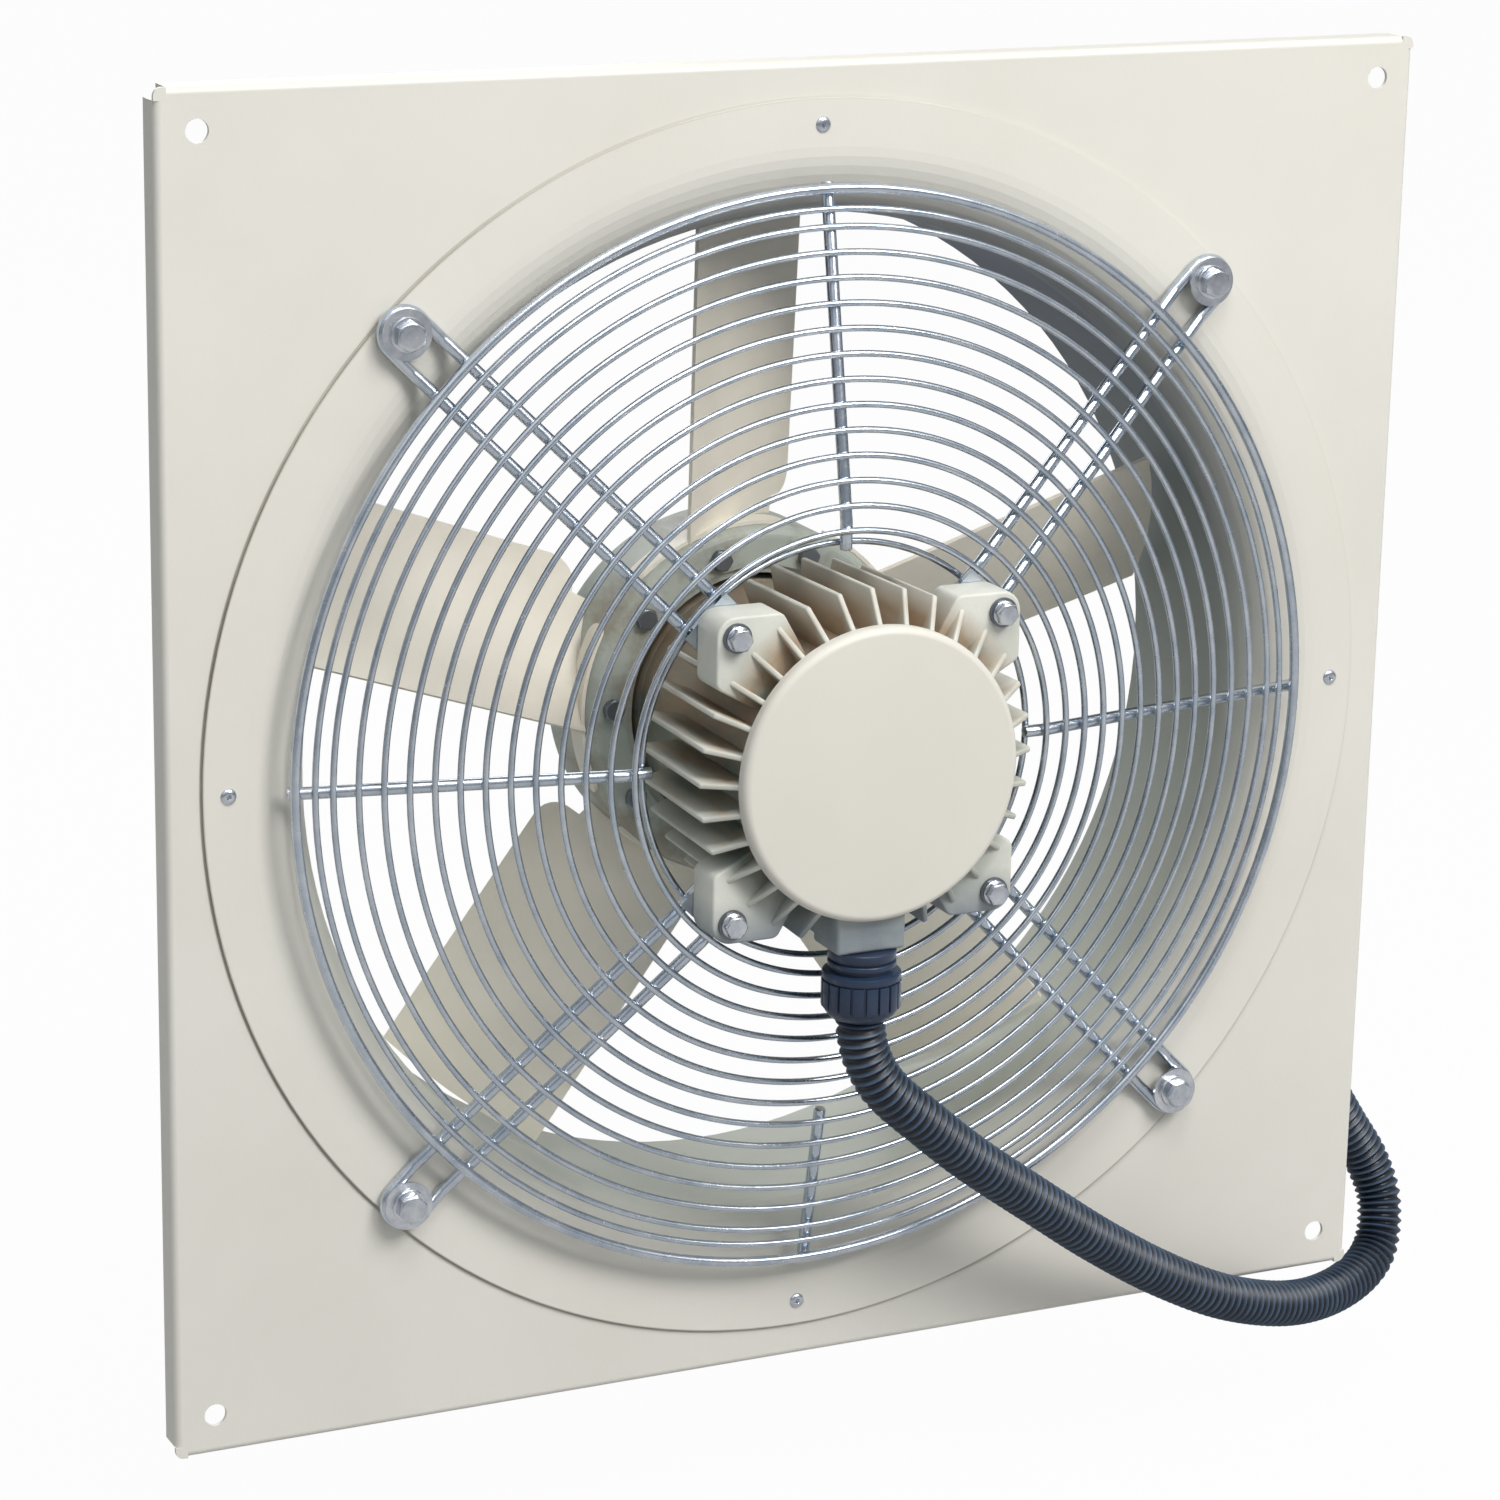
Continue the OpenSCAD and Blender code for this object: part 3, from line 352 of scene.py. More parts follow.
finishes = {
    "plate_paint": powderCoat("platePaint", shades["plate"], peel=0.10, rough=0.36, edge=0.3105),
    "ringPaint": powderCoat("ringPaint", shades["plate"], peel=0.10, rough=0.34, edge=0.31, duct=True),
    "capPaint": powderCoat("capPaint", shades["cap"], peel=0.08, rough=0.4),
    "motor_paint": castPaint(),
    "impeller_sheet": bladePaint("bladePaint", shades["blade"]),
    # the hub's paint: partly its own darker, greener tone, partly painted shade for its place deep in the
    # duct
    "hubPaintAndShade": bladePaint("hubPaintAndShade", shades["hub"], shades["hubGrime"]),
    "guard_zinc": zinc(
        "zincWire", shades["wire"], patches=60, grains=420, rough=0.18, roughSpread=0.14, relief=0.18),
    "zinc_fasteners": zinc(
        "zincBolt", shades["bolt"], patches=160, grains=900, rough=0.2, roughSpread=0.1, relief=0.1),
    # painted shade: the lug washers are zinc darkened to stand for the shade round the bolt heads
    "shadedZinc": plainFinish(
        "shadedZinc", linear(128, 133, 138), metal=1.0, rough=0.34, scale=500, relief=0.3),
    "darkBolt": plainFinish(
        "darkBolt", linear(126, 132, 138), metal=0.6, rough=0.3, scale=500, relief=0.3),
    "core_steel": banded(
        "laminate", shades["laminate"], "Y", scale=600, wobble=0.4, metal=0.8,
        rough=0.45, roughSpread=0.1, relief=0.4, depth=0.0003),
    "winding_copper": banded(
        "windings", shades["winding"], "DIAGONAL", scale=260, wobble=3.0, metal=0.7,
        rough=0.25, roughSpread=0.15, relief=0.6, depth=0.0006),
    "bearing_steel": plainFinish("bearingSteel", linear(200, 202, 206), metal=1.0, rough=0.16),
    "rotor_aluminium": plainFinish(
        "castAluminium", linear(190, 191, 194), metal=1.0, rough=0.4, scale=500, relief=0.35),
    "shaft_steel": plainFinish(
        "turnedSteel", linear(170, 171, 174), metal=1.0, rough=0.28, scale=800, relief=0.3),
    "black_nylon": plainFinish(
        "blackNylon", linear(38, 53, 76), metal=0.0, rough=0.24, scale=500, relief=0.25),
    "hose_nylon": hoseNylon(),
    "seal_rubber": plainFinish(
        "sealRubber", linear(34, 34, 36), metal=0.0, rough=0.6, scale=500, relief=0.3),
}
# nodes whose finish isn't their slot's plain one
ownFinish = {
    "inlet_ring": "ringPaint",
    "motor_cap": "capPaint",
    "lug_washers": "shadedZinc",
    "blade_ring": "hubPaintAndShade",
    "hub_carrier": "hubPaintAndShade",
}
slots = {part["node"]: part["material_slot"] for part in frame["record"]["subparts"]}
for node, shape in frame["nodes"].items():
    shape.data.materials.clear()
    shape.data.materials.append(finishes[ownFinish.get(node, slots[node])])
print("materials made")

# Modelling helpers: sizes in millimetres as seen from the front, x right, y up, z towards the viewer


def only(*pieces):
    bpy.ops.object.select_all(action="DESELECT")
    for piece in pieces:
        piece.select_set(True)
    bpy.context.view_layer.objects.active = pieces[0]


def editing(piece):
    only(piece)
    bpy.ops.object.mode_set(mode="EDIT")
    bpy.ops.mesh.select_all(action="SELECT")


def closed(piece, merge=0.0):
    # all faces outwards, and points nearer than merge joined
    bpy.ops.mesh.select_all(action="SELECT")
    if merge:
        bpy.ops.mesh.remove_doubles(threshold=merge)
    bpy.ops.mesh.normals_make_consistent(inside=False)
    bpy.ops.object.mode_set(mode="OBJECT")
    return piece


def joined(pieces, name):
    only(*pieces)
    if len(pieces) > 1:
        bpy.ops.object.join()
    made = bpy.context.view_layer.objects.active
    made.name = made.data.name = name
    return made


def placed(piece):
    only(piece)
    bpy.ops.object.transform_apply(location=True, rotation=True, scale=True)
    return piece


def finishShape(piece, angle=35):
    # from the helpers' axes and millimetres to the frame's axes and metres
    piece.scale = (0.001, 0.001, 0.001)
    piece.rotation_euler = (pi / 2, 0, 0)
    placed(piece)
    bpy.ops.object.shade_smooth_by_angle(angle=radians(angle))
    return piece


def stands(piece, body, slot, *nodes, finish=None):
    piece.data.materials.clear()
    piece.data.materials.append(finishes[finish or slot])
    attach(piece, body)
    if nodes:
        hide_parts(*nodes)
    print("made", piece.name)


def copyOf(piece, matrix):
    made = added(piece.name, piece.data.copy())
    made.data.transform(matrix)
    return made


def apply(piece, kind, **settings):
    only(piece)
    modifier = piece.modifiers.new(kind.title(), kind)
    for name, value in settings.items():
        setattr(modifier, name, value)
    bpy.ops.object.modifier_apply(modifier=modifier.name)
    return piece


def rounded(piece, width, segments=2, angle=30):
    return apply(
        piece, "BEVEL", width=width, segments=segments, limit_method="ANGLE", angle_limit=radians(angle))


def spunAround(profile, steps=64):
    # a profile of radius and height, turned about z into a closed form
    data = bpy.data.meshes.new("spun")
    edges = [(i, i + 1) for i in range(len(profile) - 1)]
    data.from_pydata([(r, 0, h) for r, h in profile], edges, [])
    made = added("spun", data)
    editing(made)
    bpy.ops.mesh.spin(steps=steps, angle=2 * pi, center=(0, 0, 0), axis=(0, 0, 1))
    return closed(made, 0.0005)


def block(outline, low, high):
    # an outline of x and y, drawn out along z
    data = bpy.data.meshes.new("block")
    data.from_pydata([(x, y, low) for x, y in outline], [], [tuple(range(len(outline)))])
    made = added("block", data)
    editing(made)
    bpy.ops.mesh.extrude_region_move(TRANSFORM_OT_translate={"value": (0, 0, high - low)})
    return closed(made)


def arc(centre, radius, start, end, steps):
    turns = [radians(start + (end - start) * i / steps) for i in range(steps + 1)]
    return [(centre[0] + radius * cos(a), centre[1] + radius * sin(a)) for a in turns]


def onCircle(piece, radius, angles):
    made = []
    for angle in angles:
        turn = Matrix.Rotation(radians(angle), 4, "Z")
        made.append(copyOf(piece, turn @ Matrix.Translation((radius, 0, 0))))
    bpy.data.objects.remove(piece)
    return made


upright = (0, 90, 180, 270)
diagonals = (45, 135, 225, 315)

# Hose: in metres, along the same points as the plain solid

hose = {
    "points": [
        (0, -0.0642, -0.125), (0.0007, -0.0642, -0.134), (0.004, -0.0642, -0.1465),
        (0.0115, -0.0645, -0.1605), (0.0215, -0.064, -0.1715), (0.035, -0.0625, -0.1835),
        (0.0665, -0.057, -0.2105), (0.1095, -0.048, -0.243), (0.153, -0.039, -0.275),
        (0.1975, -0.029, -0.304), (0.2435, -0.0195, -0.328), (0.2935, -0.004, -0.345),
        (0.337, 0.015, -0.3495), (0.366, 0.03, -0.34), (0.3755, 0.041, -0.316), (0.37, 0.047, -0.293),
        (0.354, 0.048, -0.268), (0.336, 0.046, -0.24), (0.318, 0.043, -0.205), (0.304, 0.04, -0.168),
        (0.295, 0.038, -0.13), (0.291, 0.038, -0.094), (0.29, 0.038, -0.06), (0.29, 0.038, -0.047),
        (0.29, 0.038, -0.034),
    ],
    "outer": 0.01225,
    "bore": 0.00925,
    "ribs": 170,
    "ribDepth": 0.0021,
    "ribShape": [1.0, 0.8, 0.3, 0.0, 0.3, 0.8],  # depth round one rib, from groove to crest and back
    "sides": 28,
    "pathSteps": 120,
}


def smoothLine(points, perSpan=24):
    # a Catmull-Rom curve through the points
    line = []
    last = len(points) - 1
    for k in range(perSpan * last + 1):
        i = min(k // perSpan, last - 1)
        t = k / perSpan - i
        p = [Vector(points[max(0, min(last, i + d))]) for d in (-1, 0, 1, 2)]
        line.append(0.5 * (2 * p[1] + (p[2] - p[0]) * t + (2 * p[0] - 5 * p[1] + 4 * p[2] - p[3]) * t * t
                           + (3 * p[1] - p[0] - 3 * p[2] + p[3]) * t ** 3))
    return line


def lengthsAlong(line):
    lengths = [0.0]
    for a, b in zip(line, line[1:]):
        lengths.append(lengths[-1] + (b - a).length)
    return lengths


def evenly(line, count):
    # points at equal steps along a line
    lengths = lengthsAlong(line)
    made, at = [], 0
    for k in range(count + 1):
        want = lengths[-1] * k / count
        while at < len(line) - 2 and lengths[at + 1] < want:
            at += 1
        share = (want - lengths[at]) / (lengths[at + 1] - lengths[at])
        made.append(line[at].lerp(line[at + 1], min(share, 1)))
    return made


def makeHose(route):
    shape = hose["ribShape"]
    line = evenly(route, hose["ribs"] * len(shape))
    headings = [(b - a).normalized() for a, b in zip(line, line[2:])]
    headings = [Vector((0, 0, -1))] + headings + [Vector((0, 0, 1))]
    side = Vector((1, 0, 0))
    sides = hose["sides"]
    made = bmesh.new()
    groove = made.verts.layers.float.new("groove")
    hoops = []

    def hoop(centre, heading, radius):
        across = heading.cross(side)
        around = [made.verts.new(centre + radius * (cos(a) * side + sin(a) * across))
                  for a in (2 * pi * j / sides for j in range(sides))]
        for vert in around:
            vert[groove] = (hose["outer"] - radius) / hose["ribDepth"]
        return around

    for k, (centre, heading) in enumerate(zip(line, headings)):
        side = (side - side.dot(heading) * heading).normalized()
        depth = shape[k % len(shape)] * hose["ribDepth"]
        hoops.append(hoop(centre, heading, hose["outer"] - depth))
        if k == 0:
            first = hoop(centre, heading, hose["bore"])
    last = hoop(line[-1], headings[-1], hose["bore"])
    hoops = [first] + hoops + [last]
    for a, b in zip(hoops, hoops[1:]):
        for j in range(sides):
            made.faces.new((a[j], a[(j + 1) % sides], b[(j + 1) % sides], b[j]))
    for end in (first, last):  # a face across each end, which its fitting hides
        made.faces.new(end)
    bmesh.ops.recalc_face_normals(made, faces=made.faces)
    data = bpy.data.meshes.new("corrugatedHose")
    made.to_mesh(data)
    made.free()
    piece = added("corrugatedHose", data)
    only(piece)
    bpy.ops.object.shade_smooth_by_angle(angle=radians(60))
    return piece


hoseRoute = smoothLine(hose["points"])
hosePath = evenly(hoseRoute, hose["pathSteps"])
hoseLength = lengthsAlong(hoseRoute)[-1]
hosePiece = makeHose(hoseRoute)
stands(hosePiece, "frame", "hose_nylon", "hose")
print("hose length", round(hoseLength, 4))

# Guard: rings, rods and the welds between them

guard = {
    "rodD": 6.0,
    "eyeCircle": 299.5,
    "eyeHeight": 4.5,
    "slopeStart": 284.0,
    "slopeEnd": 113.0,
    "slopeRise": 31.7,
    "legSpacing": 21.0,
    "legEnd": 90.0,
    "rodEnd": 100.0,
    "shortRodEnd": 187.0,
    "shortRodAngle": 270,
    "bendRadius": 12.0,
    "bendStep": 9,  # degrees
    "endRound": 0.5,
    "outerRing": 269.0,
    "outerWire": 5.0,
    "ringWire": 3.2,
    "lastRingGap": 9.5,
    "edgeSqueeze": 3.5,
    "innerRing": 110.0,
    "rings": 14,
    "rearRing": 103.0,
    "weldSink": 0.2,
    "weld": (1.7, 2.7, 0.9),
    "outerWeld": (2.6, 3.4, 1.3),
    "outerWeldRise": 0.1,
}


def rodHeight(radius):
    g = guard
    share = (g["slopeStart"] - max(radius, g["slopeEnd"])) / (g["slopeStart"] - g["slopeEnd"])
    return g["eyeHeight"] + g["slopeRise"] * share


slope = atan2(guard["slopeRise"], guard["slopeStart"] - guard["slopeEnd"])


def wireSeat(wire):
    return (guard["rodD"] + wire) / 2 / cos(slope) - guard["weldSink"]


lastThinRing = guard["outerRing"] - guard["lastRingGap"]
ringStep = (lastThinRing + guard["edgeSqueeze"] - guard["innerRing"]) / (guard["rings"] - 1)
ringRadii = [guard["innerRing"] + i * ringStep for i in range(guard["rings"] - 1)] + [lastThinRing]


def wireRing(radius, height, wire, around=220, across=12):
    bpy.ops.mesh.primitive_torus_add(
        location=(0, 0, height), major_radius=radius, minor_radius=wire / 2,
        major_segments=around, minor_segments=across)
    return placed(bpy.context.object)


def makeRings():
    g = guard
    wire = g["ringWire"]
    pieces = [wireRing(radius, rodHeight(radius) + wireSeat(wire), wire) for radius in ringRadii]
    rear = rodHeight(0) - (g["rodD"] + wire) / 2 + g["weldSink"]
    pieces.append(wireRing(g["rearRing"], rear, wire))
    stands(finishShape(joined(pieces, "thinRings")), "frame", "guard_zinc", "guard_rings")
    height = rodHeight(g["outerRing"]) + wireSeat(g["outerWire"])
    outer = wireRing(g["outerRing"], height, g["outerWire"], around=256, across=20)
    stands(finishShape(joined([outer], "thickRing")), "frame", "guard_zinc", "guard_outer_ring")


def bentRod(start, heading, steps, sides=18):
    # a disc drawn along straight runs and spun round bends
    heading = Vector(heading).normalized()
    bpy.ops.mesh.primitive_circle_add(
        vertices=sides, radius=guard["rodD"] / 2, fill_type="NGON", location=start,
        rotation=heading.to_track_quat("Z", "Y").to_euler())
    made = placed(bpy.context.object)
    editing(made)
    place = Vector(start)
    for kind, *step in steps:
        if kind == "run":
            move = heading * step[0]
            bpy.ops.mesh.extrude_region_move(TRANSFORM_OT_translate={"value": move})
            place = place + move
        else:  # bend towards a side by an angle
            towards, angle = Vector(step[0]).normalized(), step[1]
            radius = step[2] if len(step) > 2 else guard["bendRadius"]
            centre = place + towards * radius
            axis = heading.cross(towards)
            parts = max(4, int(degrees(angle) / guard["bendStep"]))
            bpy.ops.mesh.spin(steps=parts, angle=angle, center=centre, axis=-axis)  # it turns left-handed
            turn = Matrix.Rotation(angle, 4, axis)
            place = centre + turn @ (place - centre)
            heading = (turn @ heading).normalized()
    return closed(made, 0.001)


def asRods(pieces, name, node):
    rods = rounded(joined(pieces, name), guard["endRound"], angle=60)
    stands(finishShape(rods, angle=50), "frame", "guard_zinc", node)


def makeRods():
    g = guard
    cut = g["bendRadius"] * tan(slope / 2)
    run = (g["slopeStart"] - g["slopeEnd"]) / cos(slope)
    start = g["outerRing"] + g["outerWire"] / 2
    pieces = []
    for angle in upright:
        if angle == g["shortRodAngle"]:
            steps = [("run", (start - g["shortRodEnd"]) / cos(slope))]
        else:
            steps = [("run", (start - g["slopeEnd"]) / cos(slope) - cut),
                     ("bend", (-sin(slope), 0, -cos(slope)), slope),
                     ("run", g["slopeEnd"] - cut - g["rodEnd"])]
        rod = bentRod((start, 0, rodHeight(start)), (-cos(slope), 0, sin(slope)), steps)
        rod.data.transform(Matrix.Rotation(radians(angle), 4, "Z"))
        pieces.append(rod)
    asRods(pieces, "radialRods", "guard_radial_rods")

    half = g["legSpacing"] / 2
    steps = [("run", g["slopeEnd"] - cut - g["legEnd"]),
             ("bend", (0, 0, -1), slope),
             ("run", run - 2 * cut),
             ("bend", (sin(slope), 0, cos(slope)), slope),
             ("run", g["eyeCircle"] - g["slopeStart"] - cut),
             ("bend", (0, -1, 0), pi, half),
             ("run", g["eyeCircle"] - g["slopeStart"] - cut),
             ("bend", (0, 0, 1), slope),
             ("run", run - 2 * cut),
             ("bend", (-sin(slope), 0, -cos(slope)), slope),
             ("run", g["slopeEnd"] - cut - g["legEnd"])]
    hairpin = bentRod((g["legEnd"], half, rodHeight(0)), (1, 0, 0), steps)
    asRods(onCircle(hairpin, 0, diagonals), "supportRods", "guard_support_rods")


def weldPlaces():
    # each crossing of a ring with a rod: place along the rod and beside it, the rod's angle, and if the
    # ring is the outer one
    g = guard
    for radius in ringRadii + [g["outerRing"]]:
        outer = radius == g["outerRing"]
        for angle in upright:
            if angle != g["shortRodAngle"] or radius > g["shortRodEnd"]:
                yield radius, 0, radians(angle), outer
        for angle in diagonals:
            for leg in (-g["legSpacing"] / 2, g["legSpacing"] / 2):
                yield sqrt(radius ** 2 - leg ** 2), leg, radians(angle), outer


def makeWelds():
    g = guard
    bpy.ops.mesh.primitive_uv_sphere_add(segments=10, ring_count=6, radius=1)
    bead = bpy.context.object
    pieces = []
    for along, beside, angle, outer in weldPlaces():
        height = rodHeight(along) + g["rodD"] / 2 + (g["outerWeldRise"] if outer else 0.0)
        size = Matrix.Diagonal((*(g["outerWeld"] if outer else g["weld"]), 1))
        seat = Matrix.Translation((along, beside, height)) @ Matrix.Rotation(slope, 4, "Y")
        pieces.append(copyOf(bead, Matrix.Rotation(angle, 4, "Z") @ seat @ size))
    bpy.data.objects.remove(bead)
    stands(finishShape(joined(pieces, "guardWelds")), "frame", "guard_zinc")


makeRings()
makeRods()
makeWelds()

# Bolts

bolts = {
    "guard": {
        "circle": guard["eyeCircle"], "angles": diagonals, "seat": 9.1, "end": -11.5, "shankR": 4.0,
        "turn": 20.4, "acrossFlats": 13.0, "height": 6.5, "flange": 8.4},
    "lug": {
        "circle": 99.0, "angles": diagonals, "seat": 66.8, "end": 34.4, "shankR": 3.0, "turn": 34,
        "acrossFlats": 10.0, "height": 5.2, "flange": 6.0},
    "hub": {
        "circle": 77.5, "angles": [33.1 + 36 * i for i in range(10)], "seat": -61.8, "end": -73.3,
        "shankR": 3.0, "turn": 13.6, "acrossFlats": 10.0, "height": 4.0, "flange": 5.1},
}
boltHead = {
    "hexStart": 0.8,
    "topShare": 0.46,  # flat top's radius by the width across flats
    "coneSlope": 1.732,
    "edge": 0.18,
    "flangeRim": [(0, 0.7), (-0.3, 1.0)],  # beside the flange's radius
    "flangeTop": 1.35,
    "flangeShare": 0.47,
    "shankChamfer": (0.6, 0.8),
    "overlap": 0.2,
}


def hexHead(size):
    # a hexagon cut by a cone, so its corners are chamfered in arcs, on a round flange
    h = boltHead
    across, height, flange = size["acrossFlats"], size["height"], size["flange"]
    long = height - h["hexStart"]
    bpy.ops.mesh.primitive_cylinder_add(
        vertices=6, radius=across / 2 / cos(pi / 6), depth=long, location=(0, 0, h["hexStart"] + long / 2))
    head = placed(bpy.context.object)
    top = across * h["topShare"]
    bpy.ops.mesh.primitive_cone_add(
        vertices=48, radius1=top + height * h["coneSlope"], radius2=top, depth=height,
        location=(0, 0, height / 2))
    cone = placed(bpy.context.object)
    apply(head, "BOOLEAN", operation="INTERSECT", object=cone, solver="EXACT")
    bpy.data.objects.remove(cone)
    rounded(head, h["edge"], angle=25)
    rim = [(flange + out, up) for out, up in h["flangeRim"]]
    rim = [(0, 0), (flange, 0)] + rim + [(across * h["flangeShare"], h["flangeTop"]), (0, h["flangeTop"])]
    return joined([head, spunAround(rim, steps=40)], "boltHead")


def makeBolts(kind, body, node, finish=None):
    size, name = bolts[kind], kind + "Bolts"
    head = hexHead(size)
    head.data.transform(Matrix.Translation((0, 0, size["seat"])))
    r, end, top = size["shankR"], size["end"], size["seat"] + boltHead["overlap"]
    inward, upward = boltHead["shankChamfer"]
    shank = spunAround([(0, end), (r - inward, end), (r, end + upward), (r, top), (0, top)], steps=24)
    one = joined([head, shank], name)
    pieces = []
    for k, angle in enumerate(size["angles"]):
        twist = Matrix.Rotation(radians(size["turn"] * (k + 1)), 4, "Z")
        place = Matrix.Rotation(radians(angle), 4, "Z") @ Matrix.Translation((size["circle"], 0, 0))
        pieces.append(copyOf(one, place @ twist))
    bpy.data.objects.remove(one)
    stands(finishShape(joined(pieces, name), angle=30), body, "zinc_fasteners", node, finish=finish)


makeBolts("guard", "frame", "guard_bolts")
makeBolts("lug", "frame", "lug_bolts")
makeBolts("hub", "impeller", "hub_bolts", "darkBolt")

# Motor: finned barrel with lugs and the gland's boss, and its front cap

motor = {
    "barrelR": 66.0,
    "rearBarrelR": 62.0,
    "boreR": 60.0,
    "boreStep": 3.0,
    "boreBack": 50.0,
    "barrelFront": 74.2,
    "barrelBack": -63.8,
    "barrelEdge": 0.5,
    "shoulder": -11.3,
    "rootSink": 2.0,
    "fins": 32,
    "finThickness": 2.8,
    "finRadius": 88.0,
    "finBackRadius": 86.0,
    "finFront": 75.2,
    "finBack": -9.8,
    "finNoseRadius": 71.5,
    "finEdge": 0.9,
    "lugCircle": 99.0,
    "lugTip": 10.0,
    "lugEdge": 24.0,
    "lugCorner": 5.0,
    "lugBack": 42.2,
    "lugFront": 65.2,
    "lugRound": 1.3,
    "bossAngle": 270,
    "bossHalf": 18.25,
    "bossReach": 90.0,
    "bossBack": 46.95,
    "bossSink": 12.0,
    "bossRound": 2.0,
    "capR": 72.5,
    "capTop": 82.2,
    "capEdge": 4.0,
    "capWall": 2.5,
    "capLip": 5.0,
    "capPlay": 0.1,
}


def makeFin():
    m = motor
    root = m["barrelR"] - m["rootSink"]
    long, deep = m["finFront"] - m["finBack"], m["finRadius"] - root
    bpy.ops.mesh.primitive_cube_add(
        size=1, location=(root + deep / 2, 0, m["finBack"] + long / 2),
        scale=(deep, m["finThickness"], long))
    fin = placed(bpy.context.object)
    nose = Vector((m["finFront"] - m["lugFront"], 0, m["finRadius"] - m["finNoseRadius"])).normalized()
    taper = Vector((m["lugFront"] - m["finBack"], 0, m["finBackRadius"] - m["finRadius"])).normalized()
    bpy.ops.object.mode_set(mode="EDIT")
    for normal in (nose, taper):
        bpy.ops.mesh.select_all(action="SELECT")
        bpy.ops.mesh.bisect(
            plane_co=(m["finRadius"], 0, m["lugFront"]), plane_no=normal, use_fill=True, clear_outer=True)
    bpy.ops.object.mode_set(mode="OBJECT")
    return rounded(fin, m["finEdge"], segments=3)


def makeLug():
    # tip towards x, straight sides at 45 degrees, and rounded corners where it turns in to the barrel
    m = motor
    shoulderX = m["lugCircle"] + (m["lugTip"] - m["lugEdge"]) * cos(pi / 4)
    shoulderY = (m["lugTip"] + m["lugEdge"]) * sin(pi / 4)
    rootX = m["barrelR"] - 2 * m["rootSink"]
    rootY = shoulderY * rootX / shoulderX
    sideAngle = degrees(atan2(shoulderY, shoulderX))
    bend = m["lugCorner"]
    cut = bend * tan(radians(45 + sideAngle) / 2)
    centre = (shoulderX + (cut - bend) * cos(pi / 4), shoulderY - (cut + bend) * sin(pi / 4))
    corner = arc(centre, bend, 45, 90 + sideAngle, steps=6)
    mirrored = [(x, -y) for x, y in reversed(corner)]
    tip = arc((m["lugCircle"], 0), m["lugTip"], -45, 45, steps=16)
    outline = tip + corner + [(rootX, rootY), (rootX, -rootY)] + mirrored
    return rounded(block(outline, m["lugBack"], m["lugFront"]), m["lugRound"], segments=3)


def makeHousing():
    m = motor
    inner = m["boreR"] - m["boreStep"]
    barrel = spunAround([
        (m["boreR"], m["barrelFront"]), (m["barrelR"], m["barrelFront"]), (m["barrelR"], m["shoulder"]),
        (m["rearBarrelR"], m["shoulder"]), (m["rearBarrelR"], m["barrelBack"]), (inner, m["barrelBack"]),
        (inner, m["boreBack"]), (m["boreR"], m["boreBack"]), (m["boreR"], m["barrelFront"])], steps=96)
    pieces = [rounded(barrel, m["barrelEdge"])]
    turns = [i * 360 / m["fins"] for i in range(m["fins"])]
    pieces += onCircle(makeFin(), 0, [turn for turn in turns if turn != m["bossAngle"]])
    pieces += onCircle(makeLug(), 0, diagonals)
    half, low, high = m["bossHalf"], -m["bossReach"], m["bossSink"] - m["barrelR"]
    boss = block([(-half, low), (half, low), (half, high), (-half, high)], m["bossBack"], m["barrelFront"])
    pieces.append(rounded(boss, m["bossRound"], segments=3))
    housing = finishShape(joined(pieces, "finnedHousing"), angle=40)
    stands(housing, "frame", "motor_paint", "motor_housing")


def makeCap():
    m = motor
    edge, top, back = m["capEdge"], m["capTop"], m["finFront"]
    spigot = m["boreR"] - m["capPlay"]
    inner, lip, floor = m["boreR"] - m["boreStep"], back - m["capLip"], top - m["capWall"]
    rim = arc((m["capR"] - edge, top - edge), edge, 90, 0, steps=10)
    inside = [(spigot, back), (spigot, lip), (inner, lip), (inner, floor), (0, floor)]
    cap = spunAround([(0, top)] + rim + [(m["capR"], back)] + inside, steps=128)
    cap = finishShape(joined([cap], "frontCap"), angle=40)
    stands(cap, "frame", "motor_paint", "motor_cap", finish="capPaint")


makeHousing()
makeCap()

# Cable gland: banded collar, and the nut with its flat grips

gland = {
    "height": 64.2,
    "collarR": 16.75,
    "collarLength": 11.0,
    # collar's outline: how far inside its radius, and how far along it
    "bands": [
        (0.4, 0), (0, 0.4), (0, 4.0), (0.3, 4.4), (1.5, 4.7), (1.5, 5.5), (0.3, 5.8), (0, 6.2), (0, 8.2),
        (0.3, 8.6), (1.8, 8.9)],
    "spigotLength": 13.0,
    "spigotR": 8.5,
    "throatR": 6.0,
    "nutR": 19.75,
    "nutLength": 24.0,
    "nutBoreR": 9.2,
    # nut's flange, the same way, and its front end, measured from the end
    "flange": [(1.6, 0), (0.7, 0.5), (0.4, 1.3), (0.4, 3.4), (0.9, 4.2), (1.5, 4.6)],
    "nose": [(1.5, 6.0), (2.2, 3.6)],
    "mouthR": 13.8,
    "mouthRound": (1.2, 0.5),
    "grips": 18,
    "gripShare": 0.8,
    "gripDepth": 2.4,
    "gripSink": 1.6,
    "gripEnds": 10.4,
    "gripShift": 0.6,
    "gripEdge": 0.5,
}


def hung(piece, offset):
    # from a piece drawn along z to one that hangs from the motor's boss
    seat = Matrix.Translation((0, -motor["bossReach"] - offset, gland["height"]))
    piece.data.transform(seat @ Matrix.Rotation(pi / 2, 4, "X"))
    return piece


def makeCollar():
    g = gland
    r, long, spigot = g["collarR"], g["collarLength"], g["spigotLength"]
    bands = [(r - inside, at) for inside, at in g["bands"]]
    return joined([spunAround(
        [(g["throatR"], -spigot), (g["spigotR"], -spigot), (g["spigotR"], 0)] + bands
        + [(bands[-1][0], long), (g["throatR"], long), (g["throatR"], -spigot)], steps=72)], "glandCollar")


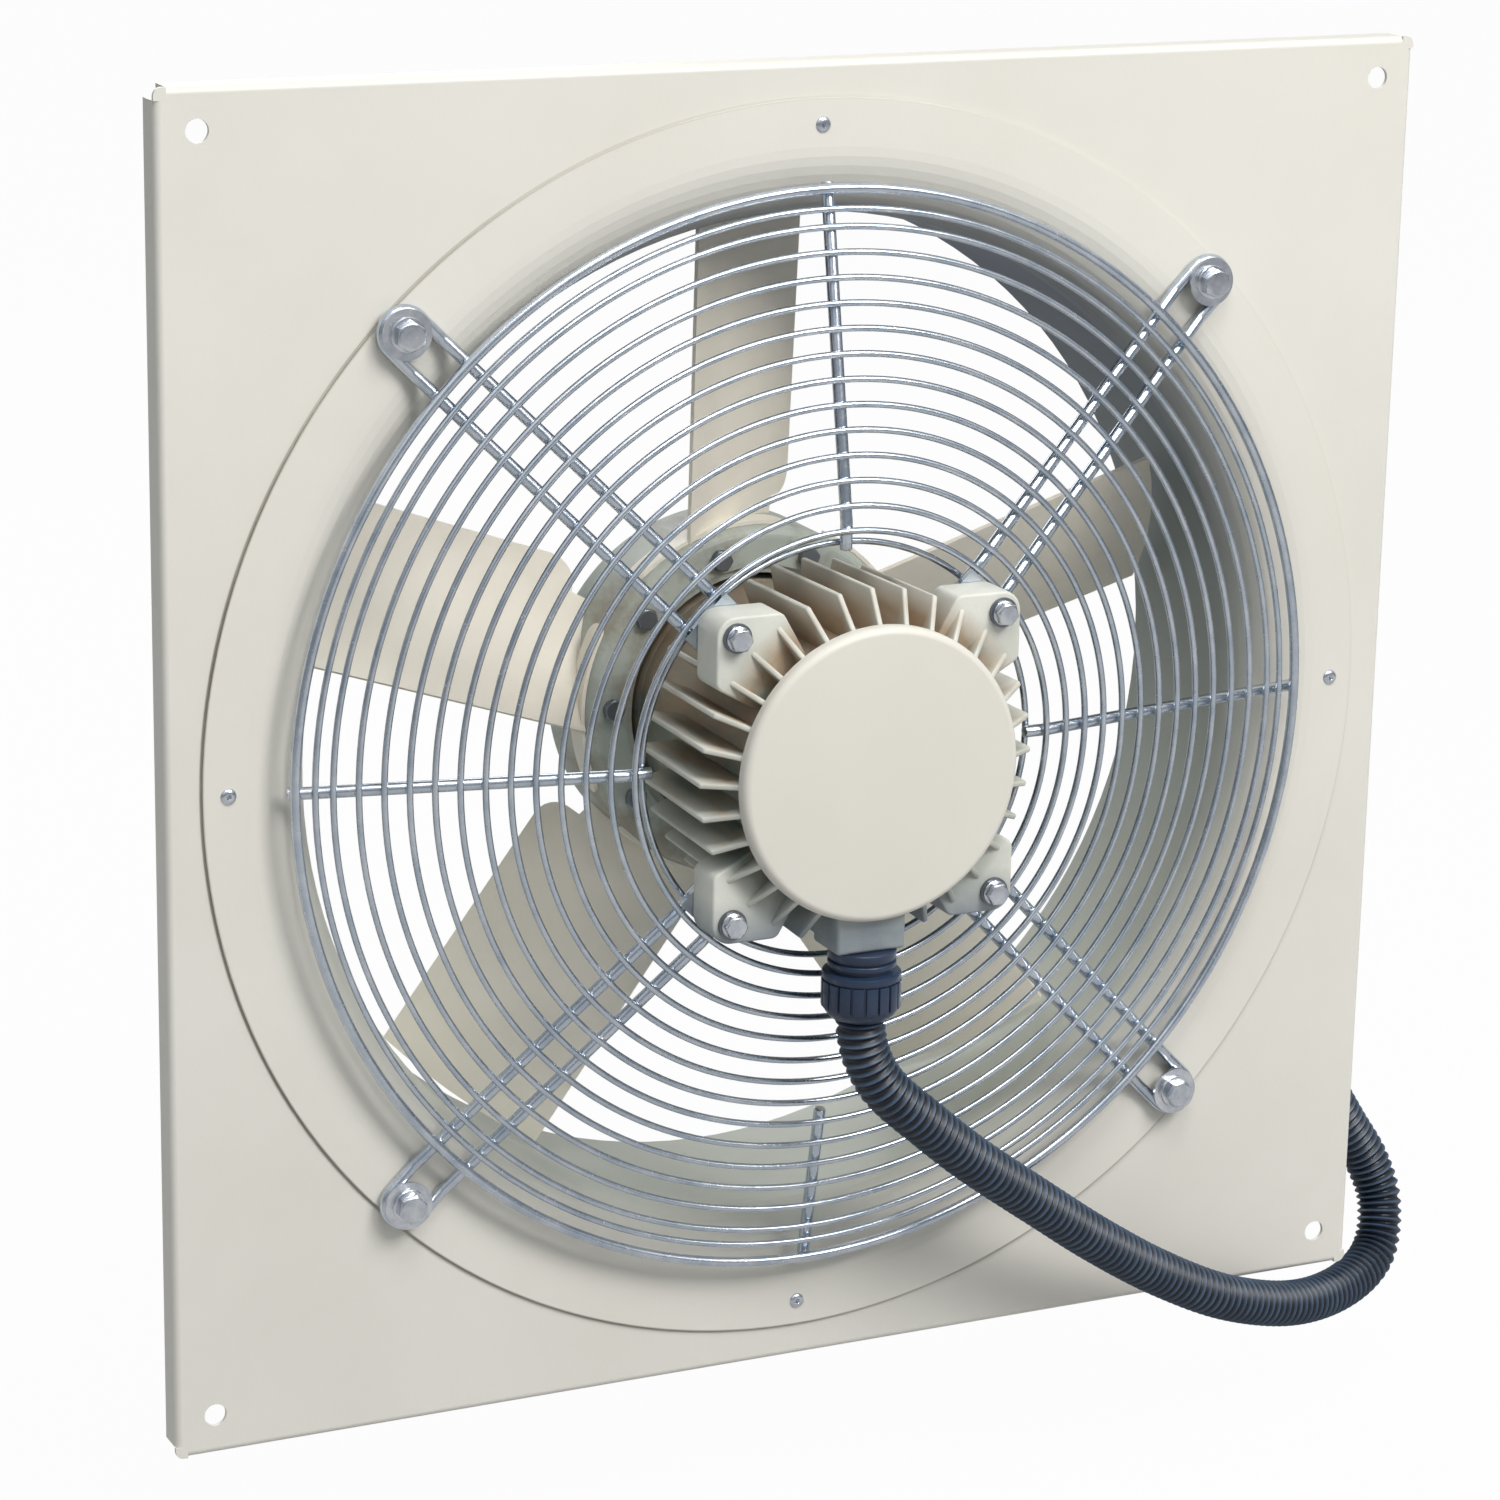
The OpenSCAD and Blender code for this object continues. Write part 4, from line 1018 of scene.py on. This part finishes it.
def makeNut():
    g = gland
    r, long, bore = g["nutR"], g["nutLength"], g["nutBoreR"]
    wider, back = g["mouthRound"]
    core = spunAround(
        [(bore, 0)] + [(r - inside, at) for inside, at in g["flange"]]
        + [(r - inside, long - at) for inside, at in g["nose"]]
        + [(g["mouthR"] + wider, long - back), (g["mouthR"], long), (bore, long), (bore, 0)], steps=72)
    wide = 2 * pi * r / g["grips"] * g["gripShare"]
    bpy.ops.mesh.primitive_cube_add(
        size=1, location=(r - g["gripSink"], 0, long / 2 - g["gripShift"]),
        scale=(g["gripDepth"], wide, long - g["gripEnds"]))
    grip = rounded(placed(bpy.context.object), g["gripEdge"])
    grips = onCircle(grip, 0, [i * 360 / g["grips"] for i in range(g["grips"])])
    return joined([core] + grips, "glandNut")


def makeGland():
    collar = finishShape(hung(makeCollar(), 0), angle=40)
    stands(collar, "frame", "black_nylon", "gland_body")
    nut = finishShape(hung(makeNut(), gland["collarLength"]), angle=40)
    stands(nut, "frame", "black_nylon", "gland_nut")


makeGland()

# Blind rivets through the ring and the plate

rivet = {
    "circle": 297.5,
    "face": 1.5,
    # head's outline from its hollow centre outwards: radius and height over the face
    "head": [(0, -1), (0.9, -1), (1.0, 0.9), (1.3, 1.25), (2.0, 1.3), (3.1, 0.95), (3.85, 0.35), (4.0, 0)],
    "shankR": 2.0,
    "plateBack": -2.0,
    "tailR": 3.0,
    "tail": [(3.0, 2.2), (2.2, 3.0), (0, 3.0)],  # radius and depth behind the plate
}


def makeRivets():
    back = rivet["plateBack"]
    head = [(r, rivet["face"] + up) for r, up in rivet["head"]]
    shank = [(rivet["shankR"], rivet["face"]), (rivet["shankR"], back), (rivet["tailR"], back)]
    tail = [(r, back - down) for r, down in rivet["tail"]]
    one = spunAround(head + shank + tail, steps=32)
    pieces = onCircle(one, rivet["circle"], upright)
    stands(finishShape(joined(pieces, "blindRivets")), "frame", "zinc_fasteners", "ring_rivets")


makeRivets()

# Surroundings: white floor and backdrop, soft lamps

studio = {
    "floor": {"size": 40, "place": (0, 2.0, -0.42), "shade": (0.4, 0.4, 0.4, 1), "glow": 0.97},
    "lamps": {
        "key": {"place": (1.1, -2.2, 2.2), "size": 1.3, "power": 84, "shade": (1.0, 0.985, 0.97)},
        "top": {"place": (-0.4, -1.5, 2.6), "size": 0.8, "power": 24, "shade": (1.0, 0.99, 0.98)},
        "fill": {"place": (-2.0, -2.4, 2.1), "size": 1.4, "power": 3, "shade": (0.95, 0.97, 1.0)},
        "back": {"place": (0.3, 2.6, 1.6), "size": 1.6, "power": 22, "shade": (1.0, 1.0, 1.0)},
    },
    # what the part mirrors, from straight below to straight above
    "sky": [
        (0.0, (0.05, 0.06, 0.07)), (0.46, (0.2, 0.22, 0.25)), (0.62, (0.36, 0.38, 0.41)),
        (1.0, (0.98, 0.99, 1.0))],
    "skyLevel": 0.9,
}
white = (1, 1, 1, 1)


def makeSky():
    # the camera sees white behind the part, and the part mirrors a sky that is darker below
    world = bpy.data.worlds.new("studio")
    bpy.context.scene.world = world
    world.use_nodes = True
    sky = Tree(world.node_tree)
    seen = sky.sum("MAXIMUM", sky.node("ShaderNodeLightPath", out="Is Camera Ray"),
                   sky.node("ShaderNodeLightPath", out="Is Transmission Ray"))
    towards = sky.node("ShaderNodeTexCoord", out="Generated")
    up = sky.node("ShaderNodeSeparateXYZ", sockets={"Vector": towards}, out="Z")
    shade = sky.ramp(0.5 + 0.5 * up, studio["sky"])
    light = sky.node("ShaderNodeBackground", sockets={"Color": shade, "Strength": studio["skyLevel"]})
    plain = sky.node("ShaderNodeBackground", sockets={"Color": white})
    mixed = sky.node("ShaderNodeMixShader", sockets={0: seen, 1: light, 2: plain})
    sky.node("ShaderNodeOutputWorld", sockets={"Surface": mixed})


def makeLamps():
    for name, lamp in studio["lamps"].items():
        data = bpy.data.lights.new(name, "AREA")
        data.size, data.energy, data.color = lamp["size"], lamp["power"], lamp["shade"]
        made = added(name, data)
        made.location = lamp["place"]
        made.rotation_euler = (-Vector(lamp["place"])).to_track_quat("-Z", "Y").to_euler()


def makeFloor():
    base = studio["floor"]
    bpy.ops.mesh.primitive_plane_add(size=base["size"], location=base["place"])
    floor = bpy.context.object
    floor.name = "floor"
    paper = Finish("whitePaper")
    seen = paper.node("ShaderNodeLightPath", out="Is Camera Ray")
    matt = paper.node("ShaderNodeBsdfDiffuse", sockets={"Color": base["shade"]})
    glow = paper.node("ShaderNodeEmission", sockets={"Color": white, "Strength": 1.0})
    mixed = paper.node("ShaderNodeMixShader", sockets={0: base["glow"] * seen, 1: matt, 2: glow})
    paper.node("ShaderNodeOutputMaterial", sockets={"Surface": mixed})
    floor.data.materials.append(paper.material)


makeSky()
makeLamps()
makeFloor()
bpy.context.scene.view_settings.view_transform = "Standard"
print("studio made")
